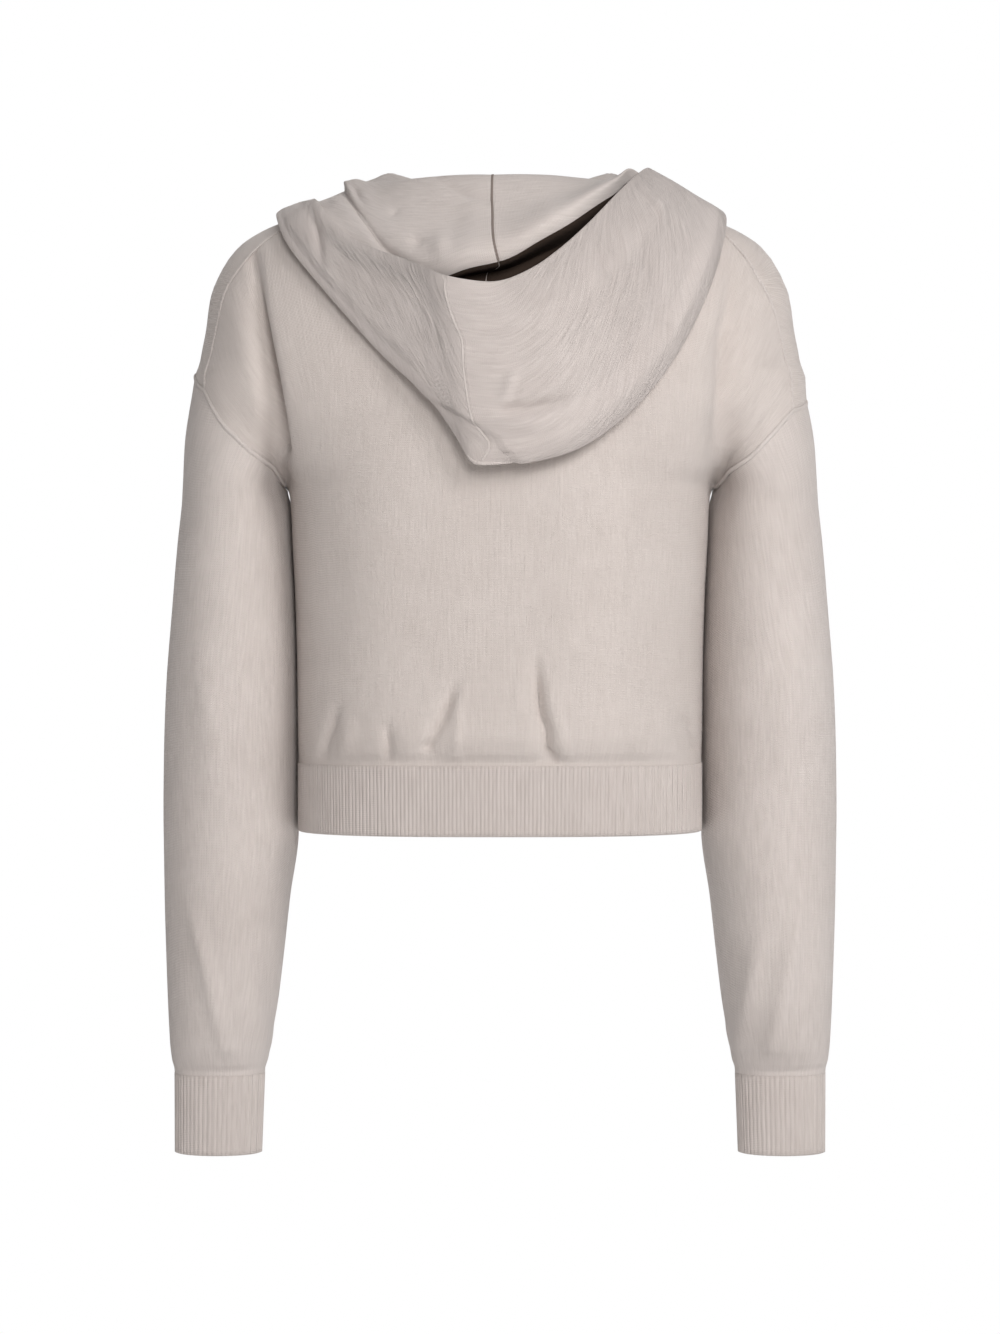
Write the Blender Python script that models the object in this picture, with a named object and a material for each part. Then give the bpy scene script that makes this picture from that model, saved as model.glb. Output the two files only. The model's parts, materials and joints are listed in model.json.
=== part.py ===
"""Zip-up hoodie in fine knit, standing in its worn form with nobody in it.

Metres, +Z up, front towards -Y, the wearer's left towards +X. The origin is the middle of the
neck opening at shoulder height. Every cloth piece is a thin wall on one shared body form.
"""

import math
from collections import namedtuple

import bpy
import numpy as np

# ---- driving sizes -------------------------------------------------------------------------
WALL = 0.0015
RIB_WALL = 0.0016
RIB_RISE = 0.0007
SEAM_GAP = 0.0003
HOOD_SEAM_GAP = 0.0005
HEM_TOP = -0.407
HEM_BOTTOM = -0.4555
CUFF_TOP = -0.636
CUFF_BOTTOM = -0.694
UNDERARM = -0.212
HEM_RIBS_BACK = 84
HEM_RIBS_FRONT = 43
CUFF_RIBS = 56
NECK_HALF_WIDTH = 0.085
NECK_BACK = 0.057
NECK_FRONT = -0.094
NECK_SEAM_DEGREES = 58
ZIP_HALF_GAP = 0.0045
TAPE_WIDTH = 0.012
TAPE_WALL = 0.0010
CHAIN_WIDTH = 0.0046
CHAIN_WALL = 0.0022
STOP_HEIGHT = 0.008
SLIDER_HEIGHT = -0.086
SLIDER_WIDE, SLIDER_THICK, SLIDER_LONG = 0.0074, 0.0012, 0.0100
BAIL_WIDE, BAIL_THICK, BAIL_LONG, BAIL_HOLE = 0.0014, 0.0008, 0.0044, 0.0017
TAB_WIDE, TAB_THICK, TAB_LONG, TAB_RAIL = 0.0052, 0.0010, 0.0230, 0.0012
TAB_EYE = 0.0036
TAB_CORNER, EYE_CORNER = 0.0008, 0.0001
TAB_AXIS_RISE = 0.0005
TAPE_BEHIND = 0.0002
ZIP_BELOW_NECK = 0.004
ZIP_ABOVE_HEM = 0.0005
STOP_WIDE, STOP_BACK, STOP_FRONT = 0.0044, 0.0012, 0.0016
BAIL_SUNK = 0.0002
CHAMFER = 0.0003
NECK_RISE = 0.0016
EDGE_SHRINK = 0.00006

# ---- how finely each piece is divided ------------------------------------------------------
SHOULDER_STEPS = 8
NECK_STEPS = 6
ARM_BACK_STEPS = 7
ARM_FRONT_STEPS = 11
SLEEVE_DROPS = (
    *(0, 0.014, 0.04, 0.09, 0.16, 0.25, 0.35, 0.45, 0.55),
    *(0.65, 0.75, 0.84, 0.91, 0.955, 0.98, 0.993, 1),
)
HOOD_COLUMNS = 17
# Steps between the neck, top fold, under the roll, recess, low fold and face edge, which are
# these points of a hood profile.
HOOD_MARKS = (0, 2, 5, 6, 9, 13)
HOOD_STEPS = (2, 6, 3, 4, 6)

# ---- the form, in short tables -------------------------------------------------------------
# Body section at a height: half width, depth behind and before the side line, squareness.
Level = namedtuple("Level", "z half back front power")
BODY = [
    Level(-0.470, 0.1438, 0.087, 0.096, 3.0),
    Level(-0.461, 0.1438, 0.088, 0.097, 3.0),
    Level(-0.409, 0.1440, 0.090, 0.099, 3.0),
    Level(-0.405, 0.1440, 0.0903, 0.0993, 3.0),
    Level(-0.397, 0.1442, 0.0965, 0.1055, 3.0),
    Level(-0.385, 0.1445, 0.102, 0.111, 3.0),
    Level(-0.340, 0.1450, 0.106, 0.117, 3.0),
    Level(-0.290, 0.1464, 0.110, 0.123, 3.0),
    Level(-0.250, 0.1484, 0.114, 0.127, 3.0),
    Level(-0.220, 0.1498, 0.117, 0.128, 3.0),
    Level(-0.212, 0.1515, 0.118, 0.128, 2.9),
    Level(-0.195, 0.1680, 0.119, 0.128, 2.6),
    Level(-0.170, 0.1900, 0.119, 0.127, 2.45),
    Level(-0.150, 0.2060, 0.118, 0.124, 2.35),
    Level(-0.125, 0.2178, 0.116, 0.119, 2.3),
    Level(-0.096, 0.2125, 0.110, 0.110, 2.3),
    Level(-0.074, 0.2075, 0.101, 0.098, 2.3),
    Level(-0.056, 0.2005, 0.091, 0.086, 2.3),
    Level(-0.038, 0.1880, 0.079, 0.072, 2.3),
    Level(-0.027, 0.1720, 0.070, 0.062, 2.3),
    Level(-0.018, 0.1510, 0.061, 0.052, 2.3),
    Level(-0.006, 0.1200, 0.050, 0.040, 2.3),
    Level(0.004, 0.0900, 0.038, 0.028, 2.3),
    Level(0.012, 0.0500, 0.022, 0.014, 2.3),
    Level(0.016, 0.0200, 0.008, 0.005, 2.3),
]
# Sleeve section at a height: inner and outer x, middle y, half depth.
Arm = namedtuple("Arm", "z inner outer middle deep")
ARM = [
    Arm(-0.640, 0.1740, 0.2378, -0.046, 0.0215),
    Arm(-0.636, 0.1735, 0.2383, -0.046, 0.0225),
    Arm(-0.633, 0.1733, 0.2385, -0.046, 0.0229),
    Arm(-0.626, 0.1712, 0.2402, -0.046, 0.0300),
    Arm(-0.612, 0.1690, 0.2415, -0.045, 0.0410),
    Arm(-0.585, 0.1638, 0.2422, -0.040, 0.0490),
    Arm(-0.549, 0.1590, 0.2428, -0.034, 0.0540),
    Arm(-0.506, 0.1538, 0.2432, -0.027, 0.0580),
    Arm(-0.456, 0.1470, 0.2432, -0.020, 0.0610),
    Arm(-0.405, 0.1467, 0.2422, -0.013, 0.0630),
    Arm(-0.350, 0.1475, 0.2396, -0.006, 0.0640),
    Arm(-0.300, 0.1488, 0.2355, -0.001, 0.0640),
    Arm(-0.250, 0.1512, 0.2312, 0.002, 0.0630),
    Arm(-0.222, 0.1531, 0.2282, 0.000, 0.0610),
    Arm(-0.212, 0.1535, 0.2272, -0.001, 0.0600),
    Arm(-0.180, 0.1380, 0.2240, 0.002, 0.0620),
    Arm(-0.130, 0.1200, 0.2100, 0.004, 0.0600),
]
# Armhole seam from the underarm, round the back over the outer arm and down the front.
Point = namedtuple("Point", "x y z")
ARMHOLE = {
    "left": [
        Point(0.1525, 0.000, -0.2120),
        Point(0.1585, 0.034, -0.2000),
        Point(0.1774, 0.056, -0.1848),
        Point(0.1940, 0.052, -0.1660),
        Point(0.2050, 0.038, -0.1430),
        Point(0.2185, 0.002, -0.1290),
        Point(0.2060, -0.036, -0.1430),
        Point(0.1870, -0.056, -0.1690),
        Point(0.1620, -0.038, -0.1960),
        Point(0.1525, 0.000, -0.2120),
    ],
    "right": [
        Point(0.1525, 0.000, -0.2120),
        Point(0.1590, 0.034, -0.2030),
        Point(0.1760, 0.056, -0.1910),
        Point(0.1900, 0.054, -0.1750),
        Point(0.2010, 0.040, -0.1580),
        Point(0.2190, 0.002, -0.1480),
        Point(0.2050, -0.036, -0.1560),
        Point(0.1870, -0.056, -0.1760),
        Point(0.1620, -0.038, -0.1980),
        Point(0.1525, 0.000, -0.2120),
    ],
}
ARMHOLE_MEETS_SHOULDER = 4
# Shoulder seam between the neck and the armhole, set back behind the shoulder.
SHOULDER = {
    "left": [
        Point(0.1200, 0.034, -0.012),
        Point(0.1517, 0.037, -0.028),
        Point(0.1780, 0.039, -0.049),
        Point(0.1960, 0.039, -0.076),
        Point(0.2035, 0.038, -0.112),
    ],
    "right": [
        Point(0.1200, 0.034, -0.013),
        Point(0.1538, 0.037, -0.034),
        Point(0.1770, 0.040, -0.060),
        Point(0.1937, 0.040, -0.0935),
        Point(0.1990, 0.040, -0.128),
    ],
}
# Folds as soft troughs: where they run over the face in x and z, how wide and deep, and the
# shares of that depth at the start and the end.
Fold = namedtuple("Fold", "path wide deep start end")
BACK_FOLDS = [
    Fold(
        [(0.1535, -0.205), (0.159, -0.160), (0.168, -0.110), (0.178, -0.066)],
        0.0075, 0.013, 0.4, 0.1,
    ),
    Fold(
        [(-0.154, -0.205), (-0.156, -0.160), (-0.159, -0.120), (-0.167, -0.074)],
        0.010, 0.009, 0.4, 0.1,
    ),
    Fold([(0.111, -0.366), (0.117, -0.380), (0.123, -0.406)], 0.006, 0.004, 0.2, 0.9),
    Fold([(0.078, -0.376), (0.0755, -0.406)], 0.006, 0.004, 0.2, 0.9),
    Fold([(0.028, -0.347), (0.040, -0.378), (0.049, -0.406)], 0.007, 0.005, 0.2, 0.9),
    Fold([(-0.025, -0.330), (-0.027, -0.372), (-0.034, -0.406)], 0.007, 0.007, 0.2, 0.9),
    Fold([(-0.122, -0.374), (-0.136, -0.406)], 0.006, 0.004, 0.2, 0.9),
]
FRONT_FOLDS = [
    Fold(
        [(0.1535, -0.205), (0.158, -0.165), (0.165, -0.120), (0.172, -0.080)],
        0.009, 0.010, 0.4, 0.1,
    ),
    Fold(
        [(-0.1535, -0.205), (-0.158, -0.165), (-0.164, -0.122), (-0.170, -0.086)],
        0.009, 0.010, 0.4, 0.1,
    ),
    Fold([(0.090, -0.362), (0.098, -0.406)], 0.006, 0.004, 0.2, 0.9),
    Fold([(0.046, -0.350), (0.052, -0.406)], 0.007, 0.005, 0.2, 0.9),
    Fold([(-0.060, -0.356), (-0.054, -0.406)], 0.006, 0.004, 0.2, 0.9),
    Fold([(-0.108, -0.368), (-0.100, -0.406)], 0.006, 0.004, 0.2, 0.9),
]
# Hood sections from the centre seam round to the centre front: neck angle from the back, top
# fold, the inner wall's roll where it has one, low fold, face edge, how far the outer wall
# bulges, and how much of a bag the section is (0 is a turned-down collar).
Section = namedtuple("Section", "neck top roll low edge bulge bag")
HOOD_RIGHT = [
    Section(
        0, (-0.005, 0.072, 0.004), (-0.022, 0.123, -0.067),
        (-0.0165, 0.138, -0.205), (-0.0375, 0.131, -0.0735), 0.01, 1,
    ),
    Section(
        13, (0.013, 0.071, 0.0045), (0.002, 0.126, -0.062),
        (0.01, 0.138, -0.2025), (-0.0061, 0.138, -0.079), 0.012, 1,
    ),
    Section(
        27, (0.034, 0.067, 0.0045), (0.026, 0.123, -0.048),
        (0.046, 0.136, -0.1945), (0.02, 0.136, -0.07), 0.014, 1,
    ),
    Section(
        41, (0.053, 0.058, 0.004), (0.047, 0.111, -0.034),
        (0.079, 0.128, -0.174), (0.041, 0.124, -0.054), 0.015, 1,
    ),
    Section(
        55, (0.071, 0.046, 0.004), (0.066, 0.092, -0.018),
        (0.107, 0.112, -0.145), (0.062, 0.106, -0.033), 0.014, 1,
    ),
    Section(
        69, (0.084, 0.03, 0.006), (0.0815, 0.069, -0.005),
        (0.13, 0.09, -0.105), (0.08, 0.086, -0.012), 0.011, 1,
    ),
    Section(
        84, (0.092, 0.01, 0.006), (0.093, 0.044, 0.007),
        (0.15, 0.062, -0.056), (0.096, 0.062, 0.006), 0.006, 0.9,
    ),
    Section(
        99, (0.094, -0.012, 0.004), None,
        (0.156, 0.03, -0.029), (0.106, 0.036, 0.0145), 0.0015, 0.7,
    ),
    Section(
        116, (0.086, -0.038, -0.006), None,
        (0.142, -0.006, -0.022), (0.117, 0, 0.006), 0.001, 0.4,
    ),
    Section(
        136, (0.066, -0.068, -0.026), None,
        (0.106, -0.056, -0.034), (0.112, -0.048, -0.018), 0.003, 0.1,
    ),
    Section(
        157, (0.036, -0.092, -0.048), None,
        (0.062, -0.094, -0.058), (0.074, -0.086, -0.054), 0.002, 0,
    ),
    Section(
        176, (0.008, -0.103, -0.064), None,
        (0.018, -0.11, -0.074), (0.026, -0.112, -0.078), 0.001, 0,
    ),
]
HOOD_LEFT = [
    Section(
        0, (0.005, 0.072, 0.004), (0.022, 0.123, -0.067),
        (0.0165, 0.138, -0.205), (0.0375, 0.131, -0.0735), 0.01, 1,
    ),
    Section(
        13, (0.021, 0.07, 0.0045), (0.044, 0.113, -0.074),
        (0.032, 0.134, -0.182), (0.05, 0.122, -0.067), 0.011, 1,
    ),
    Section(
        27, (0.04, 0.064, 0.0045), (0.063, 0.1, -0.064),
        (0.055, 0.128, -0.15), (0.064, 0.112, -0.06), 0.012, 1,
    ),
    Section(
        41, (0.058, 0.056, 0.004), (0.08, 0.086, -0.052),
        (0.078, 0.118, -0.128), (0.083, 0.098, -0.052), 0.011, 1,
    ),
    Section(
        55, (0.074, 0.044, 0.004), (0.093, 0.068, -0.034),
        (0.1, 0.1, -0.103), (0.102, 0.082, -0.042), 0.009, 1,
    ),
    Section(
        69, (0.086, 0.028, 0.006), (0.104, 0.046, -0.014),
        (0.121, 0.078, -0.078), (0.118, 0.062, -0.026), 0.006, 1,
    ),
    Section(
        84, (0.094, 0.01, 0.006), (0.111, 0.02, 0.002),
        (0.143, 0.05, -0.048), (0.13, 0.036, -0.008), 0.003, 0.9,
    ),
    Section(
        99, (0.095, -0.012, 0.004), (0.112, -0.006, 0.004),
        (0.153, 0.02, -0.027), (0.133, 0.012, -0.004), 0.0015, 0.7,
    ),
    Section(
        116, (0.088, -0.038, -0.004), None,
        (0.142, -0.012, -0.022), (0.128, -0.014, -0.003), 0.002, 0.4,
    ),
    Section(
        136, (0.066, -0.068, -0.026), None,
        (0.106, -0.056, -0.034), (0.112, -0.048, -0.018), 0.003, 0.1,
    ),
    Section(
        157, (0.036, -0.092, -0.048), None,
        (0.062, -0.094, -0.058), (0.074, -0.086, -0.054), 0.002, 0,
    ),
    Section(
        176, (0.008, -0.103, -0.064), None,
        (0.018, -0.11, -0.074), (0.026, -0.112, -0.078), 0.001, 0,
    ),
]
HOOD = {"right": HOOD_RIGHT, "left": HOOD_LEFT}

SIDES = {"left": 1, "right": -1}
BACK, FRONT = 1, -1
SIDE_FADE, HEM_FADE = 0.030, 0.008
UNDERARM_PART, UNDERARM_REACH = 0.0010, 0.016


# ---- curves --------------------------------------------------------------------------------
def eased(knots, values, at):
    """A cubic through the values that never overshoots them, read at the given places."""
    knots, values, at = (np.asarray(v, float) for v in (knots, values, at))
    step = np.diff(knots)
    slope = np.diff(values) / step
    tangent = np.zeros_like(values)
    same = slope[:-1] * slope[1:] > 0
    first, second = 2 * step[1:] + step[:-1], step[1:] + 2 * step[:-1]
    safe = np.where(same, slope[:-1], 1), np.where(same, slope[1:], 1)
    tangent[1:-1] = np.where(same, (first + second) / (first / safe[0] + second / safe[1]), 0)
    tangent[0], tangent[-1] = slope[0], slope[-1]
    at = np.clip(at, knots[0], knots[-1])
    i = np.clip(np.searchsorted(knots, at) - 1, 0, len(step) - 1)
    t = (at - knots[i]) / step[i]
    return (
        values[i] * (1 + 2 * t) * (1 - t) ** 2
        + values[i + 1] * t * t * (3 - 2 * t)
        + step[i] * t * (1 - t) * (tangent[i] * (1 - t) - tangent[i + 1] * t)
    )


def column(table, name, z):
    """One named column of a table, read at heights z."""
    rows = sorted(table, key=lambda row: row.z)
    return eased([row.z for row in rows], [getattr(row, name) for row in rows], z)


def along(points, count):
    """Points evenly spaced along a smooth curve through the given ones, ends included."""
    points = np.asarray(points, float)
    reach = np.concatenate([[0], np.cumsum(np.linalg.norm(np.diff(points, axis=0), axis=1))])
    fine = np.linspace(0, reach[-1], 40 * len(points))
    dense = np.stack([eased(reach, points[:, k], fine) for k in range(points.shape[1])], 1)
    run = np.concatenate([[0], np.cumsum(np.linalg.norm(np.diff(dense, axis=0), axis=1))])
    want = np.linspace(0, run[-1], count)
    return np.stack([np.interp(want, run, dense[:, k]) for k in range(points.shape[1])], 1)


def unit(v):
    return v / np.maximum(np.linalg.norm(v, axis=-1, keepdims=True), 1e-12)


# ---- the body form -------------------------------------------------------------------------
CORE_HALF, CORE_DEEP, CORE_TOP = 0.185, 0.012, -0.085


def body_level(points):
    """Below 0 inside the body form and above 0 outside it, roughly in metres."""
    x, y, z = np.abs(points[..., 0]), points[..., 1], points[..., 2]
    half = column(BODY, "half", z)
    deep = np.where(y > 0, column(BODY, "back", z), column(BODY, "front", z))
    power = column(BODY, "power", z)
    body = (np.sqrt((x / half) ** power + (y / deep) ** 2) - 1) * 0.10
    body = body + np.maximum(z - BODY[-1].z, 0)
    inner, outer = column(ARM, "inner", z), column(ARM, "outer", z)
    across = (x - (inner + outer) / 2) / ((outer - inner) / 2)
    arm = (np.hypot(across, (y - column(ARM, "middle", z)) / column(ARM, "deep", z)) - 1) * 0.05
    arm = np.where(z < UNDERARM - 1e-6, 1, arm + np.maximum(z - ARM[-1].z, 0))
    blend = 0.014 * np.clip((z - UNDERARM) / 0.05, 1e-6, 1)
    near = np.clip(1 - np.abs(body - arm) / blend, 0, 1)
    return np.minimum(body, arm) - blend * near**2 / 4


def body_normal(points):
    """Outward direction of the body form near the points."""
    reach = 0.0015
    axes = np.eye(3) * reach
    return unit(np.stack([body_level(points + a) - body_level(points - a) for a in axes], -1))


def on_body(points):
    """The points moved onto the body form, outwards from a box-shaped core."""
    points = np.asarray(points, float)
    low = np.array([-CORE_HALF, -CORE_DEEP, -9])
    high = np.array([CORE_HALF, CORE_DEEP, CORE_TOP])
    core = np.clip(points, low, high)
    ray = points - core
    shares = np.linspace(0.05, 2.5, 99)
    inside = np.stack([body_level(core + s * ray) < 0 for s in shares])
    leaves = inside[:-1] & ~inside[1:]
    cost = np.where(leaves, np.abs(shares[1:] - 1).reshape(-1, *[1] * (points.ndim - 1)), 9)
    pick = np.argmin(cost, axis=0)
    near, far = shares[pick], shares[pick + 1]
    for _ in range(22):
        middle = (near + far) / 2
        held = body_level(core + middle[..., None] * ray) < 0
        near, far = np.where(held, middle, near), np.where(held, far, middle)
    return core + far[..., None] * ray


def folded(points, face):
    """Points of the body form sunk by the folds of their face, which fade at its seams."""
    folds = BACK_FOLDS if face == BACK else FRONT_FOLDS
    sunk = np.zeros(points.shape[:-1])
    for fold in folds:
        path = along(fold.path, 24)
        away = np.linalg.norm(points[..., None, [0, 2]] - path, axis=-1)
        nearest = np.argmin(away, axis=-1) / (len(path) - 1)
        strength = eased([0, 0.45, 1], [fold.start, 1, fold.end], nearest)
        sunk += fold.deep * strength * np.exp(-((away.min(axis=-1) / fold.wide) ** 2))
    sunk *= np.clip(np.abs(points[..., 1]) / SIDE_FADE, 0, 1)
    sunk *= np.clip((points[..., 2] - HEM_TOP) / HEM_FADE, 0, 1)
    return points - body_normal(points) * sunk[..., None]


# ---- seams that two pieces share -----------------------------------------------------------
def mirrored(points, side):
    return np.asarray(points, float) * (SIDES[side], 1, 1)


def armhole(side, piece):
    """(back, front) stretches of the armhole seam, both from the underarm.

    Under the arm the body and the sleeve come up back to back, so each keeps its own side.
    """
    table = ARMHOLE[side]
    back = along(table[: ARMHOLE_MEETS_SHOULDER + 1], ARM_BACK_STEPS + 1)
    front = along(table[ARMHOLE_MEETS_SHOULDER:][::-1], ARM_FRONT_STEPS + 1)
    stretches = []
    for rough, face in ((back, BACK), (front, FRONT)):
        seam = folded(on_body(rough), face)
        seam[0] = table[0]
        near = np.exp(-(((seam[:, 2] - UNDERARM) / UNDERARM_REACH) ** 2))
        seam[:, 0] += near * (UNDERARM_PART if piece == "sleeve" else -UNDERARM_PART)
        stretches.append(mirrored(seam, side))
    stretches[1][-1] = stretches[0][-1]
    return stretches


def neck_point(degrees):
    """A point of the neck seam at an angle from the centre back, left side."""
    turn = np.radians(np.asarray(degrees, float))
    middle, half = (NECK_BACK + NECK_FRONT) / 2, (NECK_BACK - NECK_FRONT) / 2
    x, y = NECK_HALF_WIDTH * np.sin(turn), middle + half * np.cos(turn)
    low, high = np.full_like(x, -0.15), np.full_like(x, 0.03)
    for _ in range(30):
        z = (low + high) / 2
        held = body_level(np.stack([x, y, z], -1)) < 0
        low, high = np.where(held, z, low), np.where(held, high, z)
    return np.stack([x, y, low], -1)


def neck(side, start, stop, steps):
    return mirrored(neck_point(np.linspace(start, stop, steps + 1)), side)


def shoulder(side):
    """Shoulder seam from the neck to the armhole."""
    ends = neck_point(NECK_SEAM_DEGREES), armhole(side, "body")[0][-1] * (SIDES[side], 1, 1)
    rough = along([ends[0], *SHOULDER[side], ends[1]], SHOULDER_STEPS + 1)
    seam = folded(on_body(rough), BACK)
    seam[0], seam[-1] = ends
    return mirrored(seam, side)


# ---- grids ---------------------------------------------------------------------------------
def patch(low, high, first, last):
    """Grid filled between its low and high rows and its first and last columns."""
    u = np.linspace(0, 1, len(low))[None, :, None]
    v = np.linspace(0, 1, len(first))[:, None, None]
    rows = (1 - v) * low[None] + v * high[None]
    columns = (1 - u) * first[:, None] + u * last[:, None]
    corners = (1 - v) * ((1 - u) * low[0] + u * low[-1]) + v * ((1 - u) * high[0] + u * high[-1])
    return rows + columns - corners


def section(z, face, begin, end, count):
    """Row round the body form at a height, from one x to another, evenly spaced."""
    half = float(column(BODY, "half", z))
    turn = np.linspace(*np.arcsin(np.clip([begin / half, end / half], -1, 1)), 400)
    x = half * np.sin(turn)
    deep = float(column(BODY, "back" if face == BACK else "front", z))
    power = float(column(BODY, "power", z))
    y = face * deep * np.sqrt(np.clip(1 - np.abs(x / half) ** power, 0, 1))
    run = np.concatenate([[0], np.cumsum(np.hypot(np.diff(x), np.diff(y)))])
    want = np.linspace(0, run[-1], count)
    return np.stack([np.interp(want, run, x), np.interp(want, run, y), np.full(count, z)], -1)


def normals_of(grid, closed):
    """Unit normals of a grid of points; closed grids join their last column to the first."""
    if closed:
        across = np.roll(grid, -1, 1) - np.roll(grid, 1, 1)
    else:
        across = np.gradient(grid, axis=1)
    return unit(np.cross(across, np.gradient(grid, axis=0)))


def trimmed(grid, closed, edges="low high first last", gap=SEAM_GAP + EDGE_SHRINK):
    """The grid with the named edges drawn in by half a seam gap."""
    grid = grid.copy()
    for edge, row, inner, axis in (
        ("low", 0, 1, 0),
        ("high", -1, -2, 0),
        ("first", 0, 1, 1),
        ("last", -1, -2, 1),
    ):
        if edge not in edges.split() or (axis and closed):
            continue
        a, b = np.take(grid, row, axis), np.take(grid, inner, axis)
        moved = a + unit(b - a) * gap / 2
        if axis:
            grid[:, row] = moved
        else:
            grid[row] = moved
    return grid


# ---- solids --------------------------------------------------------------------------------
Cloth = namedtuple("Cloth", "colour roughness metallic")
KNIT = Cloth((0.63, 0.57, 0.54), 0.9, 0)
RIB = Cloth((0.58, 0.52, 0.49), 0.9, 0)
TAPE = Cloth((0.50, 0.44, 0.41), 0.85, 0)
METAL = Cloth((0.62, 0.60, 0.58), 0.3, 1)


def material(name, finish):
    made = bpy.data.materials.get(name)
    if made:
        return made
    made = bpy.data.materials.new(name)
    made.use_nodes = True
    shader = made.node_tree.nodes["Principled BSDF"]
    shader.inputs["Base Color"].default_value = (*finish.colour, 1)
    shader.inputs["Roughness"].default_value = finish.roughness
    shader.inputs["Metallic"].default_value = finish.metallic
    return made


def mesh_object(name, points, faces, finish_name, finish):
    """Object from points and faces, turned right side out."""
    mesh = bpy.data.meshes.new(name)
    points = np.asarray(points, float)
    fans = [(f[0], f[k], f[k + 1]) for f in faces for k in range(1, len(f) - 1)]
    volume = np.linalg.det(points[np.array(fans)]).sum()
    if volume < 0:
        faces = [tuple(reversed(f)) for f in faces]
    mesh.from_pydata([tuple(p) for p in points], [], faces)
    mesh.materials.append(material(finish_name, finish))
    made = bpy.data.objects.new(name, mesh)
    bpy.context.scene.collection.objects.link(made)
    return made


def wall(name, grid, finish_name, finish, thick=WALL, closed=False, rise=None, normals=None):
    """Closed cloth wall about a grid of middle points; rise lifts its outer points.

    The grid's normals point to the outside of the garment.
    """
    if normals is None:
        normals = normals_of(grid, closed)
    lift = thick / 2 if rise is None else thick / 2 + rise
    outer = grid + normals * np.broadcast_to(lift, grid.shape[:2])[..., None]
    inner = grid - normals * thick / 2
    rows, columns = grid.shape[:2]
    points = np.concatenate([outer.reshape(-1, 3), inner.reshape(-1, 3)])
    count = rows * columns
    spans = columns if closed else columns - 1
    faces = []
    for r in range(rows - 1):
        for c in range(spans):
            d = (c + 1) % columns
            a, b = r * columns + c, r * columns + d
            e, f = a + columns, b + columns
            faces.append((a, b, f, e))
            faces.append((count + a, count + e, count + f, count + b))
    for r, flip in ((0, True), (rows - 1, False)):
        for c in range(spans):
            a, b = r * columns + c, r * columns + (c + 1) % columns
            rim = (a, b, count + b, count + a)
            faces.append(rim[::-1] if flip else rim)
    if not closed:
        for c, flip in ((0, False), (columns - 1, True)):
            for r in range(rows - 1):
                a, b = r * columns + c, (r + 1) * columns + c
                rim = (a, b, count + b, count + a)
                faces.append(rim[::-1] if flip else rim)
    return mesh_object(name, points, faces, finish_name, finish)


def prism(name, outline, low, high, axis, finish_name, finish, hole=None):
    """Outline in the plane across an axis, extruded along it, with an optional like-sided hole."""
    loops = [outline] if hole is None else [outline, hole]
    count = len(outline)
    ends = (low, high)
    points = [list(np.insert(p, axis, end)) for end in ends for loop in loops for p in loop]
    layer = count * len(loops)
    faces = []
    for k in range(count):
        j = (k + 1) % count
        faces.append((k, j, layer + j, layer + k))
        if hole is not None:
            faces.append((count + k, layer + count + k, layer + count + j, count + j))
            faces.append((k, count + k, count + j, j))
            faces.append((layer + k, layer + j, layer + count + j, layer + count + k))
    if hole is None:
        faces.append(tuple(range(count))[::-1])
        faces.append(tuple(range(layer, layer + count)))
    return mesh_object(name, points, faces, finish_name, finish)


def joined(keep, extra):
    """One solid from two that overlap, by a Boolean union; the second becomes a hidden helper."""
    union = keep.modifiers.new("union", "BOOLEAN")
    union.operation, union.object = "UNION", extra
    extra.hide_render, extra.display_type = True, "WIRE"


# ---- body panels ---------------------------------------------------------------------------
BODY_HEIGHTS = (
    *(HEM_TOP, -0.405, -0.397, -0.383, -0.355),
    *(-0.320, -0.275, -0.240, -0.2185, UNDERARM),
)


def body_panel(face, lower, upper):
    """Panel grid from its sections below the underarm and its patch above, with its folds."""
    upper = upper.copy()
    upper[1:-1, 1:-1] = folded(on_body(upper[1:-1, 1:-1]), face)
    return outward(np.concatenate([folded(lower, face), upper[1:]]), face)


def face_sign(grid, face):
    """1 where a grid's normals already point outwards on that face, else -1."""
    middle = normals_of(grid, False)[len(grid) // 2, grid.shape[1] // 2]
    return 1 if middle[1] * face > 0 else -1


def outward(grid, face):
    return grid if face_sign(grid, face) > 0 else grid[:, ::-1]


def back_panel():
    columns = 2 * (SHOULDER_STEPS + NECK_STEPS) + 1
    lower = []
    for z in BODY_HEIGHTS:
        half = float(column(BODY, "half", z))
        lower.append(section(z, BACK, half, -half, columns))
    lower = np.array(lower)
    arm_left, arm_right = armhole("left", "body")[0], armhole("right", "body")[0]
    neck_left = neck("left", 0, NECK_SEAM_DEGREES, NECK_STEPS)
    neck_right = neck("right", 0, NECK_SEAM_DEGREES, NECK_STEPS)
    high = np.concatenate(
        [shoulder("left")[::-1], neck_left[::-1][1:], neck_right[1:], shoulder("right")[1:]]
    )
    upper = patch(lower[-1], high, arm_left, arm_right)
    wall("back", trimmed(body_panel(BACK, lower, upper), False), "knit", KNIT)


def front_panel(side):
    columns = SHOULDER_STEPS + NECK_STEPS + 1
    lower = []
    for z in BODY_HEIGHTS:
        half = float(column(BODY, "half", z))
        lower.append(mirrored(section(z, FRONT, half, ZIP_HALF_GAP, columns), side))
    lower = np.array(lower)
    neck_front = neck(side, 180 - zip_degrees(), NECK_SEAM_DEGREES, NECK_STEPS)
    high = np.concatenate([shoulder(side)[::-1], neck_front[::-1][1:]])
    centre = centre_line(side, lower[-1, -1], high[-1], ARM_FRONT_STEPS + 1)
    upper = patch(lower[-1], high, armhole(side, "body")[1], centre)
    wall("front_" + side, trimmed(body_panel(FRONT, lower, upper), False), "knit", KNIT)


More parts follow.
